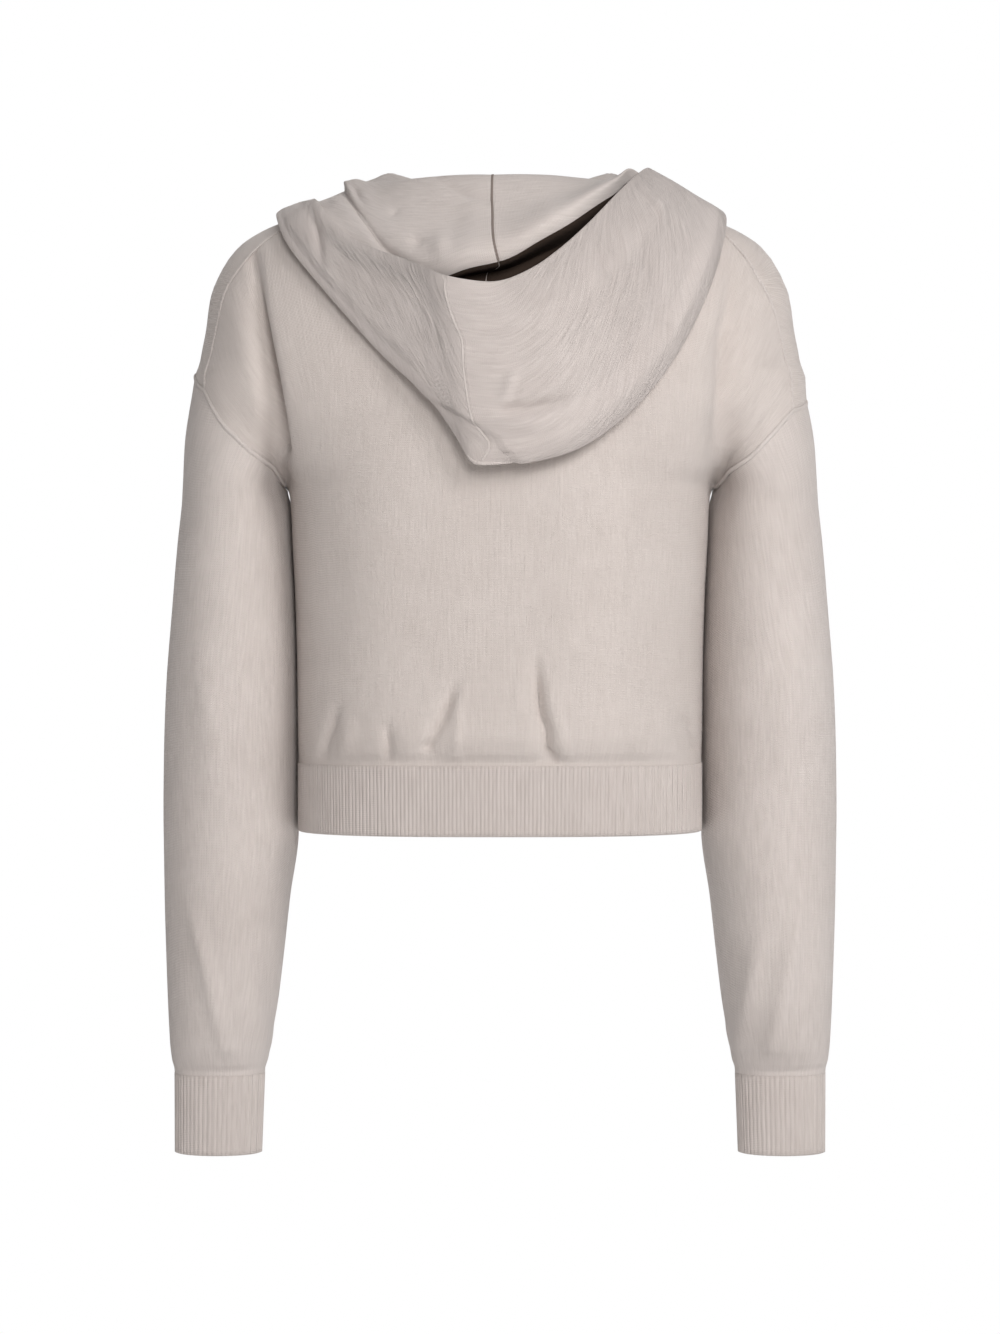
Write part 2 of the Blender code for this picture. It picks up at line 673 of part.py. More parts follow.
def zip_degrees():
    """Angle of the neck seam's end from the centre front."""
    return math.degrees(math.asin(ZIP_HALF_GAP / NECK_HALF_WIDTH))


def centre_line(side, low, high, count):
    """Front edge beside the zip between two heights."""
    z = np.linspace(low[2], high[2], count)
    rough = np.stack([np.full(count, ZIP_HALF_GAP), np.full(count, -0.12), z], -1)
    line = mirrored(on_body(rough), side)
    line[:, 0] = SIDES[side] * ZIP_HALF_GAP
    line[0], line[-1] = low, high
    return line


# ---- sleeves and ribs ----------------------------------------------------------------------
def arm_ring(z, turn):
    """Points of the sleeve at heights z and angles from the outer side, left arm."""
    inner, outer = column(ARM, "inner", z), column(ARM, "outer", z)
    x = (inner + outer) / 2 + (outer - inner) / 2 * np.cos(turn)
    return np.stack([x, column(ARM, "middle", z) + column(ARM, "deep", z) * np.sin(turn), z], -1)


def arm_turn(points):
    """Angle of each point round the sleeve's middle at its own height, left arm."""
    z = points[..., 2]
    inner, outer = column(ARM, "inner", z), column(ARM, "outer", z)
    across = (points[..., 0] - (inner + outer) / 2) / ((outer - inner) / 2)
    return np.arctan2((points[..., 1] - column(ARM, "middle", z)) / column(ARM, "deep", z), across)


def sleeve(side):
    back, front = (mirrored(seam, side) for seam in armhole(side, "sleeve"))
    ring = np.concatenate([back, front[::-1][1:-1]])
    turn = np.unwrap(arm_turn(ring))
    start = math.pi
    even = start - np.linspace(0, 2 * math.pi, len(ring) + 1)[:-1]
    turn = turn + (start - turn[0])
    rows = []
    for share in SLEEVE_DROPS:
        z = ring[:, 2] + (CUFF_TOP - ring[:, 2]) * share
        settle = min(1.0, 3 * share)
        at = turn + (even - turn) * settle
        lobe = arm_ring(z, at)
        stray = ring - arm_ring(ring[:, 2], turn)
        rows.append(lobe + stray * max(0.0, 1 - 5 * share) ** 2)
    grid = mirrored(np.array(rows), side)
    grid = grid if side == "right" else grid[:, ::-1]
    wall("sleeve_" + side, trimmed(grid, True), "knit", KNIT, closed=True)


def cuff(side):
    """Rib tube whose ribs stand out from a plain inside."""
    turn = np.linspace(0, 2 * math.pi, 2 * CUFF_RIBS + 1)[:-1]
    inner, outer = column(ARM, "inner", CUFF_TOP), column(ARM, "outer", CUFF_TOP)
    middle = column(ARM, "middle", CUFF_TOP)
    deep = column(ARM, "deep", CUFF_TOP)
    rows = []
    for z, draw in ((CUFF_TOP - SEAM_GAP, 0.0006), (CUFF_BOTTOM, 0.0018)):
        half, depth = (outer - inner) / 2 - draw, deep - draw
        lean = 0.001 if z == CUFF_BOTTOM else 0
        x = (inner + outer) / 2 + lean + half * np.cos(turn)
        rows.append(np.stack([x, middle + depth * np.sin(turn), np.full_like(x, z)], -1))
    grid = mirrored(np.array(rows)[::-1], side)
    grid = grid[:, ::-1] if side == "right" else grid
    rise = np.where(np.arange(len(turn)) % 2, RIB_RISE, 0)
    wall("cuff_" + side, grid, "rib", RIB, RIB_WALL, closed=True, rise=rise[None, :])


def hem(name, face, begin, end, ribs):
    """Stretch of the rib band between two x positions."""
    count = 2 * ribs + 1
    rows = [section(z, face, begin, end, count) for z in (HEM_BOTTOM, HEM_TOP - SEAM_GAP)]
    grid = outward(trimmed(np.array(rows), False, "first last"), face)
    rise = np.where(np.arange(count) % 2, RIB_RISE, 0)
    wall(name, grid, "rib", RIB, RIB_WALL, rise=rise[None, :])


# ---- hood ----------------------------------------------------------------------------------
PLAIN_FALL = (0.15, 0.30, 0.36, 0.42)
DEEP_SHARES = (0.4, 0.8)
RISE_SHARES = (0.12, 0.35, 0.68)
ROLL_SWELL, ROLL_HIGH, ROLL_TURN = 0.003, 0.006, 0.004
RECESS_OFF = 0.005
BULGE_FROM, BULGE_TO = 0.15, 0.90
LAYER_OFF = 0.0030
BAG_OFF = 0.0075
OUTER_OFF = 0.0090
HOOD_OFF = 0.0040


def clear_of_body(points, least):
    """Points pushed out until they stand at least this far off the body form."""
    for _ in range(6):
        normal = body_normal(points)
        reach = 0.0015
        rise = body_level(points + normal * reach) - body_level(points - normal * reach)
        slope = rise / (2 * reach)
        off = body_level(points) / np.maximum(slope, 0.2)
        points = points + normal * np.maximum(least - off, 0)[..., None]
    return points


def fall(row, top, low):
    """Inner wall from the top fold: its slope, its roll, under the roll and the recess there."""
    if row.roll is None:
        return [clear_of_body(top + (low - top) * s, LAYER_OFF) for s in PLAIN_FALL]
    roll = np.array(row.roll, float)
    outer = roll + (0, 0, ROLL_HIGH)
    slope = (top + outer) / 2
    slope = clear_of_body(slope + body_normal(slope) * ROLL_SWELL, LAYER_OFF)
    recess = on_body(roll)
    under = roll - body_normal(roll) * ROLL_TURN
    return [slope, outer, under, recess + body_normal(recess) * RECESS_OFF]


def hood_profile(row, neck_end):
    """Middle points of one hood section, from the neck seam to the face edge."""
    top, low, edge = (np.array(p, float) for p in (row.top, row.low, row.edge))
    rise = neck_end + (top - neck_end) * np.array([[0.0], [0.5]])
    inner = fall(row, top, low)
    seat = clear_of_body(low, BAG_OFF if row.bag > 0.3 else LAYER_OFF)
    deep = [clear_of_body(inner[-1] + (seat - inner[-1]) * s, LAYER_OFF) for s in DEEP_SHARES]
    back_up = []
    for s in RISE_SHARES:
        p = seat + (edge - seat) * s
        swell = math.sin(math.pi * (BULGE_FROM + (BULGE_TO - BULGE_FROM) * s))
        p = p + body_normal(p) * row.bulge * swell
        back_up.append(clear_of_body(p, OUTER_OFF * row.bag + LAYER_OFF * (1 - row.bag)))
    return np.array([*rise, top, *inner, *deep, seat, *back_up, clear_of_body(edge, LAYER_OFF)])


def hood_rows(profile):
    """Points along a profile with a set number of steps between its marked points."""
    reach = np.concatenate([[0], np.cumsum(np.linalg.norm(np.diff(profile, axis=0), axis=1))])
    spans = zip(HOOD_MARKS, HOOD_MARKS[1:], HOOD_STEPS)
    want = [np.linspace(reach[a], reach[b], n, endpoint=False) for a, b, n in spans]
    want = np.append(np.concatenate(want), reach[-1])
    return np.stack([eased(reach, profile[:, k], want) for k in range(3)], 1)


def hood_grid(side):
    """Middle points of one hood half, the centre seam first, mirrored to its side."""
    rows = HOOD[side]
    neck_rows = neck_point([row.neck for row in rows]) + (0, 0, NECK_RISE)
    shape = np.array([hood_rows(hood_profile(row, end)) for row, end in zip(rows, neck_rows)])
    turns = np.array([row.neck for row in rows], float)
    want = np.linspace(turns[0], turns[-1], HOOD_COLUMNS)
    grid = np.empty((shape.shape[1], HOOD_COLUMNS, 3))
    for r in range(len(grid)):
        for k in range(3):
            grid[r, :, k] = eased(turns, shape[:, r, k], want)
    return mirrored(grid, side)


def hood():
    """Both halves, whose walls share their normals at the centre seam."""
    left, right = hood_grid("left"), hood_grid("right")
    whole = np.concatenate([left[:, ::-1], right[:, 1:]], axis=1)
    whole[1:] = clear_of_body(whole[1:], HOOD_OFF)
    normals = normals_of(whole, False)
    middle = HOOD_COLUMNS - 1
    for side, part in (("left", slice(0, middle + 1)), ("right", slice(middle, None))):
        edge = "last" if side == "left" else "first"
        grid = trimmed(whole[:, part], False, edge, HOOD_SEAM_GAP)
        wall("hood_" + side, grid, "knit", KNIT, normals=normals[:, part])


# ---- zip -----------------------------------------------------------------------------------
def front_line(x, depth, heights):
    """Points up the front at an x and the heights, sunk below the cloth's middle by a depth."""
    line = on_body([(x, -0.12, z) for z in heights])
    line[:, 0] = x
    return line - body_normal(line) * depth


def zip_pieces():
    top = float(neck_point(180)[2]) - ZIP_BELOW_NECK
    heights = [HEM_BOTTOM + 2 * ZIP_ABOVE_HEM, *BODY_HEIGHTS, *np.linspace(UNDERARM, top, 10)[1:]]
    sunk = WALL / 2 + SEAM_GAP + TAPE_WALL / 2 + TAPE_BEHIND
    for side, sign in SIDES.items():
        inner_x, outer_x = CHAIN_WIDTH / 2 + SEAM_GAP, CHAIN_WIDTH / 2 + SEAM_GAP + TAPE_WIDTH
        columns = [front_line(sign * x, sunk, heights) for x in (inner_x, outer_x)]
        grid = outward(np.stack(columns, 1), FRONT)
        wall("zip_tape_" + side, grid, "zip_tape", TAPE, TAPE_WALL)
    heights[0] = HEM_BOTTOM + STOP_HEIGHT + SEAM_GAP
    chain = [front_line(x, sunk, heights) for x in (-CHAIN_WIDTH / 2, CHAIN_WIDTH / 2)]
    wall("zip_chain", outward(np.stack(chain, 1), FRONT), "zip_metal", METAL, CHAIN_WALL)
    return sunk


def slider_pieces(sunk):
    """Stop at the hem, slider with its bail near the neck, and the pull tab that hangs in it.

    Each is drawn upright with its back on y = 0 and its outside towards -Y, on an empty that
    stands on the chain's face and leans with it.
    """
    face_out = CHAIN_WALL / 2 - sunk
    stop_at = front_line(0.0, -face_out, [HEM_BOTTOM + ZIP_ABOVE_HEM])[0]
    wide, high = STOP_WIDE / 2, STOP_HEIGHT - ZIP_ABOVE_HEM
    stop = prism(
        "zip_stop",
        [(-wide, 0), (wide, 0), (wide, high), (-wide, high)],
        -STOP_BACK, STOP_FRONT, 1, "zip_metal", METAL,
    )
    stop.location = stop_at
    heights = [SLIDER_HEIGHT - SLIDER_LONG / 2, SLIDER_HEIGHT, SLIDER_HEIGHT + SLIDER_LONG / 2]
    spots = front_line(0.0, -face_out - SEAM_GAP, heights)
    seat = bpy.data.objects.new("slider_seat", None)
    bpy.context.scene.collection.objects.link(seat)
    seat.location = spots[1]
    lean = math.atan2(spots[2][1] - spots[0][1], spots[2][2] - spots[0][2])
    seat.rotation_euler = (-lean, 0, 0)
    half, long = SLIDER_WIDE / 2, SLIDER_LONG / 2
    plate = prism(
        "zip_slider",
        [
            (-half, -long * 0.5), (-half * 0.55, -long), (half * 0.55, -long), (half, -long * 0.5),
            (half, long * 0.8), (half * 0.75, long), (-half * 0.75, long), (-half, long * 0.8),
        ],
        -SLIDER_THICK, 0, 1, "zip_metal", METAL,
    )
    plate.parent = seat
    rise, reach = SLIDER_THICK + BAIL_HOLE, BAIL_LONG / 2
    foot, top = SLIDER_THICK - BAIL_SUNK, rise + BAIL_THICK
    bail = prism(
        "bail_helper",
        [
            (-foot, -reach), (-foot, -reach + BAIL_THICK),
            (-rise, -reach + BAIL_THICK), (-rise, reach - BAIL_THICK),
            (-foot, reach - BAIL_THICK), (-foot, reach),
            (-top, reach - CHAMFER), (-top, -reach + CHAMFER),
        ],
        -BAIL_WIDE / 2, BAIL_WIDE / 2, 0, "zip_metal", METAL,
    )
    bail.parent = seat
    joined(plate, bail)
    hinge = bpy.data.objects.new("tab_hinge", None)
    bpy.context.scene.collection.objects.link(hinge)
    hinge.parent = seat
    hinge.location = (0, -(SLIDER_THICK + BAIL_HOLE / 2), TAB_AXIS_RISE)
    wide, bar, drop = TAB_WIDE / 2, TAB_THICK / 2, TAB_THICK / 2 - TAB_LONG
    eye_wide, eye_low, corner = wide * 0.8 - TAB_RAIL, -bar - TAB_EYE, TAB_CORNER
    tab = prism(
        "zip_pull",
        [
            (-wide * 0.8, bar), (wide * 0.8, bar), (wide, drop + 2 * corner),
            (wide * 0.6, drop), (-wide * 0.6, drop), (-wide, drop + 2 * corner),
        ],
        -TAB_THICK / 2, TAB_THICK / 2, 1, "zip_metal", METAL,
        hole=[
            (-eye_wide, -bar), (eye_wide, -bar), (eye_wide, eye_low + EYE_CORNER),
            (eye_wide - EYE_CORNER, eye_low), (EYE_CORNER - eye_wide, eye_low),
            (-eye_wide, eye_low + EYE_CORNER),
        ],
    )
    tab.parent = hinge


# ---- making --------------------------------------------------------------------------------
def main():
    for old in list(bpy.data.objects):
        bpy.data.objects.remove(old, do_unlink=True)
    back_panel()
    for side in SIDES:
        front_panel(side)
        sleeve(side)
        cuff(side)
    hood()
    half_hem = float(column(BODY, "half", HEM_TOP))
    hem("hem_back", BACK, half_hem, -half_hem, HEM_RIBS_BACK)
    hem("hem_front_left", FRONT, half_hem, ZIP_HALF_GAP, HEM_RIBS_FRONT)
    hem("hem_front_right", FRONT, -half_hem, -ZIP_HALF_GAP, HEM_RIBS_FRONT)
    slider_pieces(zip_pieces())


main()
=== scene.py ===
"""Looks of the zip-up hoodie: fine knit shells, creases, seams, zip teeth and finishes.

Metres, +Z up, front towards -Y, the wearer's left towards +X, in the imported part's own frame.
Every cloth shell follows the form of the solid that it stands for.
"""

from __future__ import annotations

import json
import logging
import math
from dataclasses import dataclass
from enum import Enum

import bpy
import numpy as np
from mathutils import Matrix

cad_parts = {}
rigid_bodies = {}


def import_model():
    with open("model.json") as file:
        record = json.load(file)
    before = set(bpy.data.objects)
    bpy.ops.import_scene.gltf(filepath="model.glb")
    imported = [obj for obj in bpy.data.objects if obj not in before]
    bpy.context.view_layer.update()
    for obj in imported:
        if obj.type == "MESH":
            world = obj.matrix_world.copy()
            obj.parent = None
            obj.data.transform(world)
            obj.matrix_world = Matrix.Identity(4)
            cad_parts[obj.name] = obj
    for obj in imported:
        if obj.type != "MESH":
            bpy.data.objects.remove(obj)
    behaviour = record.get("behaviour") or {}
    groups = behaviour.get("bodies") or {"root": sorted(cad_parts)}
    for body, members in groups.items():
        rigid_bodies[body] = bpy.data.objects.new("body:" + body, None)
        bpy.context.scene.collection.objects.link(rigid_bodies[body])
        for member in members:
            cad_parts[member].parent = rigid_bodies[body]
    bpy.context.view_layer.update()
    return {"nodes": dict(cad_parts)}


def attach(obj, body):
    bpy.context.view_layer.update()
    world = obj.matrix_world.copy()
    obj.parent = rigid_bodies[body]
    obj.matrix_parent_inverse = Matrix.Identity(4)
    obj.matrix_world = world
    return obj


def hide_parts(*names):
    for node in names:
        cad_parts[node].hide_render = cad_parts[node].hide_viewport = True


LOG = logging.getLogger("hoodie")
GARMENT, PULL_TAB = "garment", "pull_tab"
UV_NAME = "cloth_metres"
Grid = np.ndarray

# ---- driving sizes, as in the part's source ------------------------------------------------
WALL, RIB_WALL, RIB_RISE = 0.0015, 0.0016, 0.0007
HEM_TOP, HEM_BOTTOM = -0.407, -0.4555
CUFF_TOP, CUFF_BOTTOM = -0.636, -0.694
UNDERARM = -0.212
NECK_HALF_WIDTH, NECK_BACK, NECK_FRONT = 0.085, 0.057, -0.094
NECK_SEAM_DEGREES = 58
ZIP_HALF_GAP = 0.0045
TAPE_WIDTH, TAPE_WALL = 0.012, 0.0010
CHAIN_WIDTH, CHAIN_WALL = 0.0046, 0.0022
SEAM_GAP = 0.0003
STOP_HEIGHT = 0.008
RIM_BULGE = 0.35  # how far a wall's edge rounds out, in walls
BEAD_SEAT = 0.45  # how far a seam bead's spine lies above the wall's middle, in walls
FRONT_START = -0.12  # y from which a line is laid on the front of the form


class Side(Enum):
    """One side of the wearer; its value is the sign of x there."""

    LEFT = 1
    RIGHT = -1

    @property
    def word(self) -> str:
        """The side's name as the nodes use it."""
        return self.name.lower()


class Face(Enum):
    """Back or front of the body; its value is the sign of y there."""

    BACK = 1
    FRONT = -1


# ---- curves --------------------------------------------------------------------------------
def eased(knots: Grid, values: Grid, at: Grid) -> Grid:
    """Reads a cubic through the values that never overshoots them.

    Args:
        knots: rising places of the values.
        values: one value for each knot.
        at: places to read.

    Returns:
        The values at those places.
    """
    knots, values, at = (np.asarray(v, float) for v in (knots, values, at))
    step = np.diff(knots)
    slope = np.diff(values) / step
    tangent = np.zeros_like(values)
    same = slope[:-1] * slope[1:] > 0
    first, second = 2 * step[1:] + step[:-1], step[1:] + 2 * step[:-1]
    safe = np.where(same, slope[:-1], 1), np.where(same, slope[1:], 1)
    tangent[1:-1] = np.where(same, (first + second) / (first / safe[0] + second / safe[1]), 0)
    tangent[0], tangent[-1] = slope[0], slope[-1]
    at = np.clip(at, knots[0], knots[-1])
    i = np.clip(np.searchsorted(knots, at) - 1, 0, len(step) - 1)
    t = (at - knots[i]) / step[i]
    return (
        values[i] * (1 + 2 * t) * (1 - t) ** 2
        + values[i + 1] * t * t * (3 - 2 * t)
        + step[i] * t * (1 - t) * (tangent[i] * (1 - t) - tangent[i + 1] * t)
    )


def along(points: Grid, count: int) -> Grid:
    """Spaces points evenly along a smooth curve.

    Args:
        points: points that the curve passes through.
        count: how many points to return, ends included.

    Returns:
        The evenly spaced points.
    """
    points = np.asarray(points, float)
    reach = run_of(points)
    fine = np.linspace(0, reach[-1], 40 * len(points))
    dense = np.stack([eased(reach, points[:, k], fine) for k in range(points.shape[1])], 1)
    run = run_of(dense)
    want = np.linspace(0, run[-1], count)
    return np.stack([np.interp(want, run, dense[:, k]) for k in range(points.shape[1])], 1)


def run_of(points: Grid) -> Grid:
    """Distance run along a line of points, from 0 at the first."""
    return np.concatenate([[0], np.cumsum(np.linalg.norm(np.diff(points, axis=0), axis=1))])


def unit(v: Grid) -> Grid:
    """Vectors scaled to length 1."""
    return v / np.maximum(np.linalg.norm(v, axis=-1, keepdims=True), 1e-12)


def mirrored(points: Grid, side: Side) -> Grid:
    """Points of the left side, put on the given side."""
    return np.asarray(points, float) * (side.value, 1, 1)


def finer(values: tuple[float, ...], parts: int) -> Grid:
    """Each stretch between rising or falling values cut into equal parts, ends kept."""
    knots = np.arange(len(values))
    return np.interp(np.linspace(0, len(values) - 1, (len(values) - 1) * parts + 1), knots, values)


# ---- the body form -------------------------------------------------------------------------
@dataclass(frozen=True)
class Level:
    """Body section at a height: half width, depth behind and before, squareness."""

    z: float
    half: float
    back: float
    front: float
    power: float


@dataclass(frozen=True)
class Arm:
    """Sleeve section at a height: inner and outer x, middle y, half depth."""

    z: float
    inner: float
    outer: float
    middle: float
    deep: float


BODY = (
    Level(-0.470, 0.1438, 0.087, 0.096, 3.0),
    Level(-0.461, 0.1438, 0.088, 0.097, 3.0),
    Level(-0.409, 0.1440, 0.090, 0.099, 3.0),
    Level(-0.405, 0.1440, 0.0903, 0.0993, 3.0),
    Level(-0.397, 0.1442, 0.0965, 0.1055, 3.0),
    Level(-0.385, 0.1445, 0.102, 0.111, 3.0),
    Level(-0.340, 0.1450, 0.106, 0.117, 3.0),
    Level(-0.290, 0.1464, 0.110, 0.123, 3.0),
    Level(-0.250, 0.1484, 0.114, 0.127, 3.0),
    Level(-0.220, 0.1498, 0.117, 0.128, 3.0),
    Level(-0.212, 0.1515, 0.118, 0.128, 2.9),
    Level(-0.195, 0.1680, 0.119, 0.128, 2.6),
    Level(-0.170, 0.1900, 0.119, 0.127, 2.45),
    Level(-0.150, 0.2080, 0.118, 0.124, 2.35),
    Level(-0.125, 0.2150, 0.116, 0.119, 2.3),
    Level(-0.096, 0.2105, 0.110, 0.110, 2.3),
    Level(-0.074, 0.2075, 0.101, 0.098, 2.3),
    Level(-0.056, 0.2005, 0.091, 0.086, 2.3),
    Level(-0.038, 0.1880, 0.079, 0.072, 2.3),
    Level(-0.027, 0.1720, 0.070, 0.062, 2.3),
    Level(-0.018, 0.1510, 0.061, 0.052, 2.3),
    Level(-0.006, 0.1200, 0.050, 0.040, 2.3),
    Level(0.004, 0.0900, 0.038, 0.028, 2.3),
    Level(0.012, 0.0500, 0.022, 0.014, 2.3),
    Level(0.016, 0.0200, 0.008, 0.005, 2.3),
)
ARM = (
    Arm(-0.640, 0.1740, 0.2378, -0.046, 0.0215),
    Arm(-0.636, 0.1735, 0.2383, -0.046, 0.0225),
    Arm(-0.633, 0.1733, 0.2385, -0.046, 0.0229),
    Arm(-0.626, 0.1712, 0.2402, -0.046, 0.0300),
    Arm(-0.612, 0.1690, 0.2415, -0.045, 0.0410),
    Arm(-0.585, 0.1638, 0.2422, -0.040, 0.0490),
    Arm(-0.549, 0.1590, 0.2428, -0.034, 0.0540),
    Arm(-0.506, 0.1538, 0.2432, -0.027, 0.0580),
    Arm(-0.456, 0.1470, 0.2432, -0.020, 0.0610),
    Arm(-0.405, 0.1467, 0.2422, -0.013, 0.0630),
    Arm(-0.350, 0.1469, 0.2396, -0.006, 0.0640),
    Arm(-0.300, 0.1480, 0.2355, -0.004, 0.0640),
    Arm(-0.250, 0.1500, 0.2312, -0.003, 0.0630),
    Arm(-0.222, 0.1515, 0.2282, -0.004, 0.0610),
    Arm(-0.212, 0.1535, 0.2272, -0.001, 0.0600),
    Arm(-0.180, 0.1380, 0.2245, 0.002, 0.0620),
    Arm(-0.130, 0.1200, 0.2135, 0.004, 0.0600),
)


@dataclass(frozen=True)
class Form:
    """The one form that every cloth piece lies on."""

    body: tuple[Level, ...] = BODY
    arm: tuple[Arm, ...] = ARM
    core: tuple[float, float, float] = (0.185, 0.012, -0.085)
    probe: float = 0.0015

    def column(self, rows: tuple, name: str, z: Grid) -> Grid:
        """Reads a named column of a table.

        Args:
            rows: the table.
            name: its column.
            z: heights to read.

        Returns:
            The column at those heights.
        """
        rows = sorted(rows, key=lambda row: row.z)
        return eased([row.z for row in rows], [getattr(row, name) for row in rows], z)

    def level(self, points: Grid) -> Grid:
        """Roughly how far points stand outside the form, in metres; below 0 is inside."""
        x, y, z = np.abs(points[..., 0]), points[..., 1], points[..., 2]
        half = self.column(self.body, "half", z)
        behind, before = (self.column(self.body, name, z) for name in ("back", "front"))
        deep = np.where(y > 0, behind, before)
        power = self.column(self.body, "power", z)
        body = (np.sqrt((x / half) ** power + (y / deep) ** 2) - 1) * 0.10
        body = body + np.maximum(z - self.body[-1].z, 0)
        across, depth = self.round_arm(points)
        arm = (np.hypot(across, depth) - 1) * 0.05
        arm = np.where(z < UNDERARM - 1e-6, 1, arm + np.maximum(z - self.arm[-1].z, 0))
        blend = 0.014 * np.clip((z - UNDERARM) / 0.05, 1e-6, 1)
        near = np.clip(1 - np.abs(body - arm) / blend, 0, 1)
        return np.minimum(body, arm) - blend * near**2 / 4

    def round_arm(self, points: Grid) -> tuple[Grid, Grid]:
        """Shares of the arm section's half width and half depth at which points lie."""
        z = points[..., 2]
        inner, outer = self.column(self.arm, "inner", z), self.column(self.arm, "outer", z)
        across = (np.abs(points[..., 0]) - (inner + outer) / 2) / ((outer - inner) / 2)
        middle, deep = self.column(self.arm, "middle", z), self.column(self.arm, "deep", z)
        return across, (points[..., 1] - middle) / deep

    def normal(self, points: Grid) -> Grid:
        """Outward direction of the form near the points."""
        axes = np.eye(3) * self.probe
        return unit(np.stack([self.level(points + a) - self.level(points - a) for a in axes], -1))

    def lay(self, points: Grid) -> Grid:
        """Moves points onto the form, outwards from its core.

        Args:
            points: places near the form.

        Returns:
            The places on it.
        """
        points = np.asarray(points, float)
        half, deep, top = self.core
        core = np.clip(points, [-half, -deep, -9], [half, deep, top])
        ray = points - core
        shares = np.geomspace(0.05, 16, 96)
        inside = np.stack([self.level(core + s * ray) < 0 for s in shares])
        leaves = inside[:-1] & ~inside[1:]
        cost = np.abs(shares[1:] - 1).reshape(-1, *[1] * (points.ndim - 1))
        pick = np.argmin(np.where(leaves, cost, 9), axis=0)
        near, far = shares[pick], shares[pick + 1]
        for _ in range(16):
            middle = (near + far) / 2
            held = self.level(core + middle[..., None] * ray) < 0
            near, far = np.where(held, middle, near), np.where(held, far, middle)
        return core + far[..., None] * ray

    def clear(self, points: Grid, least: float, rounds: int = 5) -> Grid:
        """Pushes points out until they stand at least this far off the form.

        Args:
            points: places to push.
            least: the distance that they keep.
            rounds: steps of the search.

        Returns:
            The places after it.
        """
        for _ in range(rounds):
            normal = self.normal(points)
            out, back = points + normal * self.probe, points - normal * self.probe
            slope = (self.level(out) - self.level(back)) / (2 * self.probe)
            off = self.level(points) / np.maximum(slope, 0.2)
            points = points + normal * np.maximum(least - off, 0)[..., None]
        return points

    def section(self, z: float, face: Face, begin: float, end: float, count: int) -> Grid:
        """Makes a row round the body at a height.

        Args:
            z: the height.
            face: back or front.
            begin: x of the first point.
            end: x of the last point.
            count: how many points, evenly spaced.

        Returns:
            The row.
        """
        half = float(self.column(self.body, "half", z))
        turn = np.linspace(*np.arcsin(np.clip([begin / half, end / half], -1, 1)), 700)
        x = half * np.sin(turn)
        deep = float(self.column(self.body, face.name.lower(), z))
        power = float(self.column(self.body, "power", z))
        y = face.value * deep * np.sqrt(np.clip(1 - np.abs(x / half) ** power, 0, 1))
        run = run_of(np.stack([x, y], -1))
        want = np.linspace(0, run[-1], count)
        return np.stack([np.interp(want, run, x), np.interp(want, run, y), np.full(count, z)], -1)

    def neck_point(self, degrees: Grid) -> Grid:
        """Points of the neck seam at angles from the centre back, left side."""
        turn = np.radians(np.asarray(degrees, float))
        middle, half = (NECK_BACK + NECK_FRONT) / 2, (NECK_BACK - NECK_FRONT) / 2
        x, y = NECK_HALF_WIDTH * np.sin(turn), middle + half * np.cos(turn)
        low, high = np.full_like(x, -0.15), np.full_like(x, 0.03)
        for _ in range(24):
            z = (low + high) / 2
            held = self.level(np.stack([x, y, z], -1)) < 0
            low, high = np.where(held, z, low), np.where(held, high, z)
        return np.stack([x, y, low], -1)


FORM = Form()


# ---- creases -------------------------------------------------------------------------------
@dataclass(frozen=True)
class Crease:
    """A soft trough over a face, or a ridge where its depth is below 0.

    Its path is in x and z, and start and end are the shares of its depth at its ends.
    """

    path: tuple[tuple[float, float], ...]
    wide: float
    deep: float
    start: float = 0.2
    end: float = 0.2

    def strength(self, flat: Grid) -> Grid:
        """How deep the crease is at flat places, in metres."""
        path = along(self.path, max(24, int(run_of(np.array(self.path))[-1] / (self.wide * 0.4))))
        away = np.linalg.norm(flat[..., None, :] - path, axis=-1)
        nearest = np.argmin(away, axis=-1) / (len(path) - 1)
        share = eased([0, 0.45, 1], [self.start, 1, self.end], nearest)
        return self.deep * share * np.exp(-((away.min(axis=-1) / self.wide) ** 2))


BACK_FOLDS = (
    Crease(
        ((0.1535, -0.205), (0.159, -0.160), (0.168, -0.110), (0.178, -0.066)),
        0.0075, 0.013, 0.4, 0.1,
    ),
    Crease(
        ((-0.154, -0.205), (-0.156, -0.160), (-0.159, -0.120), (-0.167, -0.074)),
        0.010, 0.009, 0.4, 0.1,
    ),
    Crease(((0.111, -0.366), (0.117, -0.380), (0.123, -0.406)), 0.006, 0.002, 0.2, 0.9),
    Crease(((0.078, -0.376), (0.0755, -0.406)), 0.006, 0.002, 0.2, 0.9),
    Crease(((0.028, -0.347), (0.040, -0.378), (0.049, -0.406)), 0.007, 0.0022, 0.2, 0.9),
    Crease(((-0.025, -0.330), (-0.027, -0.372), (-0.034, -0.406)), 0.007, 0.0030, 0.2, 0.9),
    Crease(((-0.122, -0.374), (-0.136, -0.406)), 0.006, 0.002, 0.2, 0.9),
)
